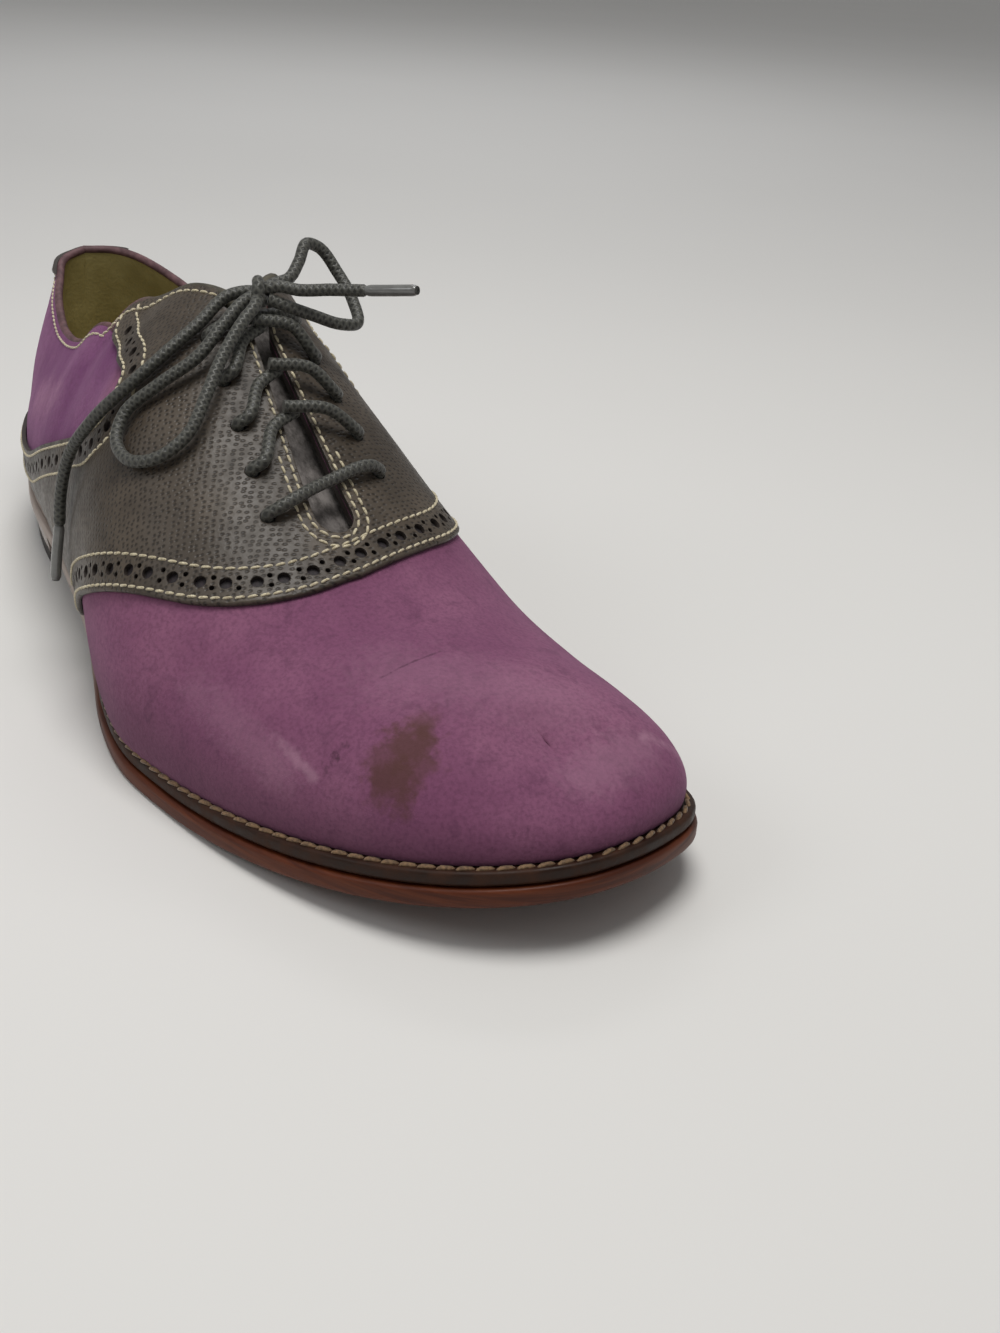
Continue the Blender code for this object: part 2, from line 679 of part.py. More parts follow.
def lace_crossing(pair, finish):
    """The strands of a pair of lace holes: the inner side's lies over the outer side's."""
    cross = (eyelet(-1, pair)[0][0] + eyelet(1, pair)[0][0]) / 2 - CROSS_BACK
    low = LACE_CLEAR
    high = LACE_CLEAR + LACE * 0.85
    middle = (facing_edge(-1, cross, low * 0.8) + facing_edge(1, cross, low * 0.8)) / 2
    lateral = strand_start(-1, pair)
    lateral += [facing_edge(-1, cross + LACE, low, LACE), middle]
    medial = strand_start(1, pair)
    medial += [facing_edge(1, cross + LACE * 0.6, high, LACE), facing_edge(-1, cross, high * 0.9)]
    first = tube(f"lace_cross_{pair}", smooth_path(lateral, LACE * 0.8), LACE / 2, finish)
    second = tube(f"lace_strand_{pair}", smooth_path(medial, LACE * 0.8), LACE / 2, finish)
    cut_by(first, cutter(second), "UNION")
    return first


def centre_on_origin(free_cord):
    """Hang everything on an empty that puts the middle of the shoe's box over the origin."""
    base = bpy.data.objects.new("shoe", None)
    bpy.context.scene.collection.objects.link(base)
    evaluated = bpy.context.evaluated_depsgraph_get()
    corners = []
    for made in bpy.data.objects:
        if made.type != "EMPTY":
            made.parent = base
        if made.type == "MESH" and not made.hide_render and made not in free_cord:
            corners += [vert.co[:] for vert in made.evaluated_get(evaluated).data.vertices]
    middle = (np.min(corners, axis=0) + np.max(corners, axis=0)) / 2
    base.location = (-middle[0], -middle[1], 0.0)


def main():
    for old in list(bpy.data.objects):
        bpy.data.objects.remove(old)

    nubuck = material("nubuck", (0.125, 0.030, 0.110), 0.85)
    saddle_leather = material("saddle_leather", (0.070, 0.062, 0.055), 0.50)
    tongue_leather = material("tongue_leather", (0.085, 0.075, 0.070), 0.80)
    sole_leather = material("sole_leather", (0.200, 0.050, 0.015), 0.45)
    welt_leather = material("welt_leather", (0.035, 0.016, 0.008), 0.40)
    heel_leather = material("heel_leather", (0.190, 0.090, 0.060), 0.40)
    heel_rubber = material("heel_rubber", (0.020, 0.016, 0.014), 0.70)
    sock = material("sock_leather", (0.120, 0.100, 0.050), 0.60)
    lace = material("lace", (0.045, 0.048, 0.040), 0.55)
    aglet = material("aglet", (0.100, 0.100, 0.090), 0.25)
    guide = material("guide", (1.0, 0.0, 0.0), 1.0)

    def outsole_low(x):
        return sole_bottom(x)

    def outsole_high(x):
        return sole_bottom(x) + OUTSOLE

    def welt_low(x):
        return outsole_high(x) + GAP

    def welt_high(x):
        return welt_low(x) + WELT

    def lifted(height, by):
        return lambda x: height(x) + by

    sole_plate("outsole", (
        (EDGE_ROUND, outsole_low),
        (0.0, lifted(outsole_low, EDGE_ROUND)),
        (0.0, lifted(outsole_high, -EDGE_ROUND)),
        (EDGE_ROUND, outsole_high),
    ), sole_leather)
    sole_plate("welt", (
        (WELT_STEP + EDGE_ROUND, welt_low),
        (WELT_STEP, lifted(welt_low, EDGE_ROUND)),
        (WELT_STEP, lifted(welt_high, -EDGE_ROUND)),
        (WELT_STEP + EDGE_ROUND, welt_high),
        (WELT_REACH, welt_high),
        (WELT_REACH, welt_low),
    ), welt_leather, hole=True)

    def sock_edge(station):
        return last("inset", station) * BALL_WIDTH + WALL + INSOLE_ROOM

    def sock_top_edge(station):
        return sock_edge(station) + INSOLE_ROOM * 2

    sole_plate("insole", (
        (WELT_REACH + GAP, lifted(outsole_high, GAP)),
        (WELT_REACH + GAP, lifted(welt_high, GAP)),
        (sock_edge, lifted(welt_high, GAP)),
        (sock_top_edge, lifted(welt_high, GAP + INSOLE)),
    ), sock)
    heel_block("heel_stack", (
        (EDGE_ROUND + HEEL_TAPER * 0.7, TOP_PIECE + GAP), (EDGE_ROUND, HEEL_HEIGHT - GAP),
    ), heel_leather)
    heel_block("heel_top_piece", (
        (EDGE_ROUND + HEEL_TAPER, 0.0), (EDGE_ROUND + HEEL_TAPER * 0.7, TOP_PIECE),
    ), heel_rubber)

    grid = [[(station, share) for station in STATIONS] for share in SHARES]
    whole = [(-1, grid), (1, grid)]
    upper = skin("upper", whole, -WALL, 0.0, nubuck)
    saddle = skin("saddle", whole, GAP, GAP + OVERLAY, saddle_leather)
    backstay = skin("backstay", whole, GAP, GAP + OVERLAY, saddle_leather)
    make_tongue(tongue_leather)

    pattern = skin("saddle_pattern", front_pattern(-1) + front_pattern(1), -CUT_DEPTH, CUT_REACH,
                   guide, CUT_DEPTH)
    cut_by(saddle, cutter(pattern), "INTERSECT")
    cut_by(backstay, cutter(backstay_pattern(guide)), "INTERSECT")
    for side in (-1, 1):
        cut_by(saddle, cutter(quarter_cutter(side, guide)))
    throat = cutter(throat_cutter(guide))
    cut_by(upper, throat)
    cut_by(saddle, throat)
    for side in (-1, 1):
        for pair in range(PAIRS):
            place, out = eyelet(side, pair)
            hole = cutter(drill(f"lace_hole_{side_word(side)}_{pair + 1}", place, out, guide))
            cut_by(upper, hole)
            cut_by(saddle, hole)

    lace_bar(lace)
    for pair in range(1, PAIRS - 1):
        lace_crossing(pair, lace)
    lace_under_knot(lace)
    free_cord = [
        cord("lace_knot", KNOT_ROUTE, lace, KNOT / 2),
        cord("lace_loop_lateral", LATERAL_LOOP, lace),
        cord("lace_loop_medial", MEDIAL_LOOP, lace),
        cord("lace_end_lateral", LATERAL_END, lace),
        cord("lace_end_medial", MEDIAL_END, lace),
        cord("aglet_lateral", LATERAL_AGLET, aglet, AGLET / 2),
        cord("aglet_medial", MEDIAL_AGLET, aglet, AGLET / 2),
    ]

    centre_on_origin(free_cord)


main()
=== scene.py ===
# %% [markdown]
# # Saddle shoe
# A man's right saddle shoe on a leather sole: purple nubuck, a grey-brown embossed saddle with
# punched bands, and a round waxed lace in a bow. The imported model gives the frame. This script
# gives the shoe its surfaces, seams, holes, stitches, laces and wear.
# %% Load the frame
import math

import bmesh
import bpy
import numpy as np
from mathutils import Matrix, Vector
from mathutils.bvhtree import BVHTree


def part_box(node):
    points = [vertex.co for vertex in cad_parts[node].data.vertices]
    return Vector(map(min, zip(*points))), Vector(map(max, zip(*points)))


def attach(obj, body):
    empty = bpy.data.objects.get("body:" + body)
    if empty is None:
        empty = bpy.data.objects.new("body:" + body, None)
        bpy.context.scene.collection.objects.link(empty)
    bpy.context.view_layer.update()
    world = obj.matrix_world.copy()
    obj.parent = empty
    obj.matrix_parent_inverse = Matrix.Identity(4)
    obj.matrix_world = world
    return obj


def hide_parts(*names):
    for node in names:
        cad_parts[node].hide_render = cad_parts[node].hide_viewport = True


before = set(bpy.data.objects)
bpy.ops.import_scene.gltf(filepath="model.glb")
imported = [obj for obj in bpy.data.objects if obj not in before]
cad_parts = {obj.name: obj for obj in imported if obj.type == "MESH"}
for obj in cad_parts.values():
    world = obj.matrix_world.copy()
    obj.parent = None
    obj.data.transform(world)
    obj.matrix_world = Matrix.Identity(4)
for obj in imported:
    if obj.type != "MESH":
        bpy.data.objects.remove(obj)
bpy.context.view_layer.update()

# %% [markdown]
# The camera stands to the right of the toe and looks down along the shoe towards its heel. Its
# place and directions were solved from the sole's outline, the collar and the lace holes.
# %% Set the camera
CAMERA_PLACE = (0.35194, -0.14538, 0.18648)
CAMERA_RIGHT = (0.51330, 0.85605, 0.06092)
CAMERA_UP = (-0.40862, 0.18136, 0.89450)
LENS = 40.87

camera_data = bpy.data.cameras.new("camera")
camera_data.lens = LENS
camera_data.sensor_width = 36.0
camera = bpy.data.objects.new("camera", camera_data)
bpy.context.scene.collection.objects.link(camera)
camera_back = Vector(CAMERA_RIGHT).cross(Vector(CAMERA_UP))
turn = Matrix((CAMERA_RIGHT, CAMERA_UP, camera_back)).transposed().to_4x4()
camera.matrix_world = Matrix.Translation(CAMERA_PLACE) @ turn
bpy.context.scene.camera = camera
bpy.context.scene.view_settings.view_transform = "Standard"
print("camera at", CAMERA_PLACE, "lens", LENS)

# %% [markdown]
# The sizes below are the driving sizes of the CAD model, in metres, so that each piece lies on
# the solid that it dresses.
# %% Sizes of the shoe
LENGTH = 0.303
BALL_WIDTH = 0.105
HEEL_HEIGHT = 0.0115
HEEL_LENGTH = 0.070
BREAST_HOLLOW = 0.005
HEEL_TAPER = 0.0015
TOP_PIECE = 0.005
OUTSOLE = 0.0045
WELT = 0.0035
WELT_STEP = 0.0008
WELT_REACH = 0.010
EDGE_ROUND = 0.0007
INSOLE = 0.003
TOE_SPRING = 0.013
SHANK_END = 0.188
SPRING_START = 0.212
SEAT_ROOM = 0.002
BACK_HEIGHT = 0.062
INSTEP_HEIGHT = 0.082
WALL = 0.0018
OVERLAY = 0.0012
GAP = 0.0003
FACING_GAP = 0.0022
THROAT_START = 0.140
THROAT_END = 0.2078
THROAT_RADIUS = 0.0048
THROAT_DROP = 0.010
TONGUE = 0.002
LACE = 0.003
EYELET = 0.0038
PAIRS = 5
CROSS_BACK = 0.0077
LACE_CLEAR = 0.0021
AGLET = 0.0026
SKIN_TOP = GAP + OVERLAY
NOTCH = 0.0052
NOTCH_START = 0.1600
NOTCH_LENGTH = 0.012

# The lace holes of each side: x of the one nearest the toe, the step to the next, its distance
# from the throat's edge and what that loses from hole to hole
HOLES = {-1: (0.1994, 0.0108, 0.0102, 0.0000), 1: (0.1920, 0.0097, 0.0120, 0.0009)}

# %% [markdown]
# Each row of the last is one station between the heel's back (0) and the toe's tip (1). Sideways
# lengths are shares of BALL_WIDTH, and heights are shares of BACK_HEIGHT behind the facing and of
# INSTEP_HEIGHT in front of it. Most of the shares came out of a fit to points of the photograph's
# outlines and are not chosen by hand; some were changed afterwards.
# %% Table of the last
COLUMNS = (
    "station", "sole_lat", "sole_med", "inset", "top_x", "top_lat", "up_lat", "top_med", "up_med",
    "turn", "swell_lat", "swell_med", "fill",
)
LAST = (
    (0.00, 0.000, 0.000, 0.014, 0.003, 0.000, 0.985, 0.000, 0.985, 0.40, 0.018, 0.018, 2.00),
    (0.07, 0.138, 0.144, 0.014, 0.017, 0.080, 0.950, 0.092, 0.988, 0.40, 0.012, 0.018, 2.00),
    (0.14, 0.232, 0.240, 0.014, 0.050, 0.122, 0.893, 0.150, 0.972, 0.40, 0.006, 0.018, 2.00),
    (0.21, 0.297, 0.298, 0.015, 0.108, 0.176, 0.832, 0.200, 0.918, 0.40, 0.012, 0.019, 2.00),
    (0.28, 0.342, 0.316, 0.016, 0.182, 0.218, 0.780, 0.232, 0.853, 0.40, 0.030, 0.020, 2.00),
    (0.34, 0.365, 0.302, 0.018, 0.256, 0.234, 0.830, 0.240, 0.850, 0.42, 0.050, 0.022, 2.00),
    (0.40, 0.388, 0.278, 0.018, 0.330, 0.216, 1.005, 0.220, 1.015, 0.46, 0.066, 0.026, 1.90),
    (0.44, 0.407, 0.268, 0.016, 0.396, 0.167, 0.920, 0.170, 0.930, 0.58, 0.068, 0.032, 1.85),
    (0.465, 0.424, 0.275, 0.013, 0.446, 0.108, 1.027, 0.090, 1.042, 0.76, 0.064, 0.036, 1.85),
    (0.50, 0.462, 0.305, 0.010, 0.500, 0.032, 1.015, -0.032, 1.015, 1.00, 0.058, 0.040, 1.96),
    (0.55, 0.516, 0.362, 0.008, 0.578, 0.038, 0.840, -0.038, 0.840, 1.00, 0.046, 0.034, 2.12),
    (0.60, 0.536, 0.425, 0.010, 0.654, 0.045, 0.650, -0.045, 0.650, 1.00, 0.034, 0.026, 2.12),
    (0.64, 0.511, 0.462, 0.017, 0.713, 0.047, 0.515, -0.047, 0.515, 1.00, 0.027, 0.022, 2.12),
    (0.70, 0.455, 0.484, 0.026, 0.790, 0.030, 0.418, -0.030, 0.418, 1.00, 0.020, 0.018, 2.14),
    (0.76, 0.378, 0.477, 0.032, 0.849, -0.010, 0.373, 0.010, 0.373, 1.00, 0.018, 0.016, 2.16),
    (0.82, 0.284, 0.446, 0.035, 0.885, -0.042, 0.331, 0.042, 0.331, 1.00, 0.016, 0.016, 2.30),
    (0.88, 0.175, 0.378, 0.036, 0.902, -0.060, 0.286, 0.060, 0.286, 1.00, 0.016, 0.016, 2.45),
    (0.94, 0.050, 0.235, 0.035, 0.913, -0.072, 0.252, 0.072, 0.252, 1.00, 0.016, 0.016, 2.50),
    (1.00, -0.079, 0.079, 0.034, 0.918, -0.078, 0.232, 0.078, 0.232, 1.00, 0.016, 0.016, 2.50),
)
FACING_STATION = 0.42
RIDGE_STATION = 0.50
TOE_STATION = 0.80

# The saddle's front edge on each side: pairs of a station and a height share, about half of them
# worked out from points of the photograph
FRONT_EDGE = {
    -1: ((0.466, 0.00), (0.545, 0.235), (0.589, 0.410), (0.620, 0.547), (0.639, 0.693),
         (0.6475, 0.855), (0.6450, 1.00)),
    1: ((0.466, 0.00), (0.530, 0.235), (0.570, 0.380), (0.600, 0.520), (0.6162, 0.633),
        (0.6275, 0.755), (0.6362, 0.873), (0.6450, 1.00)),
}

# The open quarter's edge from the side: pairs of x over LENGTH and z over BACK_HEIGHT
QUARTER_EDGE = (
    (-0.066, 0.532), (0.033, 0.532), (0.119, 0.548), (0.228, 0.610), (0.340, 0.819),
    (0.419, 0.971), (0.470, 1.089), (0.488, 1.177), (0.479, 1.261), (0.429, 1.298),
    (0.376, 1.347), (0.343, 1.613), (0.323, 1.935), (-0.066, 1.935),
)

# The backstay from behind: pairs of height over BACK_HEIGHT and half width over BALL_WIDTH
BACKSTAY = (
    (0.735, 0.048), (0.90, 0.050), (1.06, 0.057), (1.19, 0.085), (1.31, 0.119), (1.50, 0.133),
)
TONGUE_DROP = ((0.464, 0.0040), (0.57, 0.0036), (0.61, 0.0020), (0.645, 0.0006))
TONGUE_EDGE = 0.65
table = {name: np.array([row[i] for row in LAST], float) for i, name in enumerate(COLUMNS)}
print("last:", len(LAST), "stations")

# %% [markdown]
# Soft creases and puckers in the leather. Each is a line of points, a width and a depth: a
# negative depth is a trough and a positive one a ridge.
# %% Creases
CREASES = (
    (0.0016, -0.00045, ((0.251, -0.025, 0.0395), (0.2495, -0.013, 0.0425), (0.247, 0.0, 0.0435))),
    (0.006, -0.0005, ((0.227, -0.038, 0.037), (0.233, -0.02, 0.048), (0.234, 0.004, 0.05))),
    (0.007, 0.00045, ((0.239, -0.04, 0.033), (0.242, -0.02, 0.044), (0.242, 0.006, 0.046))),
    (0.005, -0.0006, ((0.118, -0.04, 0.048), (0.124, -0.041, 0.056), (0.13, -0.039, 0.064))),
    (0.005, 0.0006, ((0.128, -0.044, 0.048), (0.136, -0.042, 0.06), (0.145, -0.035, 0.074))),
    (0.005, -0.0006, ((0.139, -0.048, 0.044), (0.147, -0.044, 0.058), (0.156, -0.036, 0.072))),
    (0.006, 0.0005, ((0.15, -0.05, 0.042), (0.158, -0.045, 0.056), (0.166, -0.036, 0.07))),
    (0.007, -0.0006, ((0.03, -0.03, 0.045), (0.045, -0.032, 0.052), (0.062, -0.031, 0.06))),
    (0.006, -0.0006, ((0.118, 0.03, 0.048), (0.126, 0.03, 0.062), (0.134, 0.026, 0.076))),
)

# %% [markdown]
# The functions of the last work on whole arrays. A side is -1 for the outer half and 1 for the
# inner half of the foot.
# %% Functions of the last
def smooth(knots, values, at):
    """A smooth curve through the values: cubic pieces with slopes from the neighbours."""
    knots, values, at = (np.asarray(item, float) for item in (knots, values, at))
    k = np.clip(np.searchsorted(knots, at, side="right") - 1, 0, len(knots) - 2)
    steps = np.diff(knots)
    rates = np.diff(values) / steps
    slopes = np.concatenate([rates[:1], rates, rates[-1:]])[:len(values)]
    slopes[-1] = rates[-1]
    slopes[1:-1] = rates[:-1] * steps[1:] + rates[1:] * steps[:-1]
    slopes[1:-1] /= steps[1:] + steps[:-1]
    t = (at - knots[k]) / steps[k]
    rise = t * t * (3 - 2 * t)
    start = (t - 1) ** 2 * t * steps[k] * slopes[k]
    end = t * t * (t - 1) * steps[k] * slopes[k + 1]
    return values[k] + (values[k + 1] - values[k]) * rise + start + end


def last(column, station):
    return smooth(table["station"], table[column], np.clip(station, 0.0, 1.0))


def ease(t):
    t = np.clip(t, 0.0, 1.0)
    return t * t * (3 - 2 * t)


def unit(vectors):
    return vectors / np.linalg.norm(vectors, axis=-1, keepdims=True)


def sole_bottom(x):
    x = np.asarray(x, float)
    seat_end = HEEL_LENGTH + SEAT_ROOM
    shank = HEEL_HEIGHT * (1.0 - ease((x - seat_end) / (SHANK_END - seat_end)))
    share = np.clip(x - SPRING_START, 0.0, None) / (LENGTH - SPRING_START)
    return np.where(x < SHANK_END, shank, TOE_SPRING * share ** 1.8)


def sole_top(x):
    return sole_bottom(x) + OUTSOLE + GAP + WELT + GAP


def side_word(side):
    return "lat" if side < 0 else "med"


def outline(side, station):
    x = LENGTH * (1 - np.cos(np.pi * station)) / 2
    return np.stack([x, side * last("sole_" + side_word(side), station) * BALL_WIDTH], -1)


def outward(side, station):
    station = np.asarray(station, float)
    step = 0.004
    before, after = np.clip(station - step, 0, 1), np.clip(station + step, 0, 1)
    along = outline(side, after) - outline(side, before)
    along = np.where((station <= 0.0)[..., None], (0.0, side), along)
    along = np.where((station >= 1.0)[..., None], (0.0, -side), along)
    return unit(np.stack([along[..., 1], -along[..., 0]], -1) * -side)


def inset_outline(side, station, inset):
    return outline(side, station) - outward(side, station) * np.asarray(inset)[..., None]


def top_point(side, station):
    word = side_word(side)
    x = last("top_x", station) * LENGTH
    y = side * last("top_" + word, station) * BALL_WIDTH
    blend = ease((station - FACING_STATION + 0.02) / 0.04)
    height = BACK_HEIGHT * (1 - blend) + INSTEP_HEIGHT * blend
    return np.stack([x, y, sole_top(x) + last("up_" + word, station) * height], -1)


def ridge_slope(station):
    held = np.minimum(station, TOE_STATION)
    before, after = top_point(1, held - 0.005), top_point(1, held + 0.005)
    slope = (after[..., 2] - before[..., 2]) / (after[..., 0] - before[..., 0])
    return np.where(station < RIDGE_STATION, 0.0, slope)


def bare_last(side, station, share):
    word = side_word(side)
    station, share = np.broadcast_arrays(np.asarray(station, float), np.asarray(share, float))
    foot = inset_outline(side, station, last("inset", station) * BALL_WIDTH)
    foot = np.concatenate([foot, sole_top(foot[..., 0])[..., None]], -1)
    top = top_point(side, station)
    power = 2 / last("fill", station)
    end = np.minimum(last("turn", station), 1.0) * np.pi / 2
    angle = share * end
    in_share = 1 - np.clip(np.cos(angle), 0, None) ** power
    in_share = in_share / (1 - np.clip(np.cos(end), 0, None) ** power)
    up_share = np.clip(np.sin(angle), 0, None) ** power / np.sin(end) ** power
    lean = ridge_slope(station) * (top[..., 0] - foot[..., 0])
    bulge = last("swell_" + word, station) * BALL_WIDTH * np.sin(np.pi * share ** 0.8)
    place = foot + (top - foot) * in_share[..., None]
    place[..., 2] = foot[..., 2] + (top[..., 2] - foot[..., 2] - lean) * up_share + lean * in_share
    place[..., :2] += outward(side, station) * bulge[..., None]
    return place


def facing_out(side, station, share):
    station, share = np.broadcast_arrays(np.asarray(station, float), np.asarray(share, float))
    step = 0.003
    up = (bare_last(side, station, np.clip(share + step, 0, 1))
          - bare_last(side, station, np.clip(share - step, 0, 1)))
    along = (bare_last(side, np.clip(station + step, 0, 1), share)
             - bare_last(side, np.clip(station - step, 0, 1), share))
    along = np.where((station <= 0.0)[..., None], (0.0, side, 0.0), along)
    along = np.where((station >= 1.0)[..., None], (0.0, -side, 0.0), along)
    normal = np.cross(along, up) * -side
    normal[..., 2] = np.where(share <= 0.0, 0.0, normal[..., 2])
    slope = ridge_slope(station)
    ridge = np.stack([-slope, np.zeros_like(slope), np.ones_like(slope)], -1)
    on_ridge = (share >= 1.0) & (station >= RIDGE_STATION)
    return unit(np.where(on_ridge[..., None], ridge, normal))


def relief(places):
    """How far the creases push the leather out or in at each place."""
    total = np.zeros(places.shape[:-1])
    for width, depth, line in CREASES:
        nearest = np.full(places.shape[:-1], np.inf)
        for start, end in zip(np.array(line[:-1]), np.array(line[1:])):
            run = end - start
            share = np.clip(((places - start) @ run) / (run @ run), 0.0, 1.0)
            away = np.linalg.norm(places - start - share[..., None] * run, axis=-1)
            nearest = np.minimum(nearest, away)
        total += depth * np.exp(-(nearest / width) ** 2)
    return total


def off_last(side, station, share, offset):
    """Places on the leather, a distance off the upper's outer face."""
    base = bare_last(side, station, share)
    lift = relief(base) + offset
    return base + facing_out(side, station, share) * lift[..., None]


cad_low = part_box("outsole")[0]
widest = outline(-1, np.linspace(0.0, 1.0, 29))[:, 1].min()
SHIFT = np.array((cad_low[0], cad_low[1] - widest, 0.0))
print("shift", SHIFT)

# %% [markdown]
# The facing's functions give the throat, the lace holes and the strands the same places as the
# CAD model has.
# %% Functions of the facing
RIDGE_STATIONS = np.linspace(0.40, 0.95, 56)
ridge_tops = last("top_x", RIDGE_STATIONS) * LENGTH


def ridge_at(x):
    return np.interp(x, ridge_tops, RIDGE_STATIONS)


def ridge_y(x):
    station = ridge_at(x)
    return (top_point(1, station)[..., 1] + top_point(-1, station)[..., 1]) / 2


def throat_half(x):
    full = THROAT_END - THROAT_RADIUS
    share = np.clip((x - THROAT_START) / (full - THROAT_START), 0.0, 1.0)
    return FACING_GAP / 2 + (THROAT_RADIUS - FACING_GAP / 2) * share


def throat_outline(grow=0.0, back=0.02, count=48):
    """The throat seen from above, from one side of its open end round to the other."""
    full = THROAT_END - THROAT_RADIUS
    places = np.linspace(THROAT_START - back, full, count)
    notch = NOTCH * ease((NOTCH_START - places) / NOTCH_LENGTH)
    middle, half = ridge_y(places), throat_half(places) + grow + notch
    turns = np.linspace(0.0, np.pi, count)[1:-1]
    radius = THROAT_RADIUS + grow
    arc = np.stack([full + radius * np.sin(turns), ridge_y(full) + radius * np.cos(turns)], -1)
    inner = np.stack([places, middle + half], -1)
    outer = np.stack([places, middle - half], -1)[::-1]
    return np.concatenate([inner, arc, outer])


def share_at(side, station, sideways):
    middle = ridge_y(top_point(side, station)[0])
    shares = np.linspace(1.0, 0.4, 61)
    away = np.abs(bare_last(side, station, shares)[:, 1] - middle)
    return np.interp(sideways, away, shares)


def eyelet(side, pair):
    """Place and outward direction of a lace hole on the saddle. Pair 0 is nearest the toe."""
    first, step, room, less = HOLES[side]
    x = first - pair * step
    station = ridge_at(x)
    share = share_at(side, station, throat_half(x) + room - pair * less)
    return off_last(side, station, share, SKIN_TOP), facing_out(side, station, share)


def facing_edge(side, x, lift, past=0.0):
    station = ridge_at(x)
    share = share_at(side, station, throat_half(x) + past)
    return off_last(side, station, share, SKIN_TOP + lift)


def strand_start(side, pair):
    place, out = eyelet(side, pair)
    inward = facing_edge(side, place[0], 0.0) - place
    inward /= np.linalg.norm(inward)
    return [place - out * LACE * 0.9, place + out * LACE * 0.3,
            place + out * LACE_CLEAR + inward * LACE * 0.6]


eyelets = [eyelet(side, pair) for side in (-1, 1) for pair in range(PAIRS)]
print(len(eyelets), "lace holes, the first at", np.round(eyelets[0][0] + SHIFT, 4))

# %% [markdown]
# Every finish is a node material in object coordinates. A Finish starts from the Principled
# shader and adds noise, spots and bump to it.
# %% Material tools


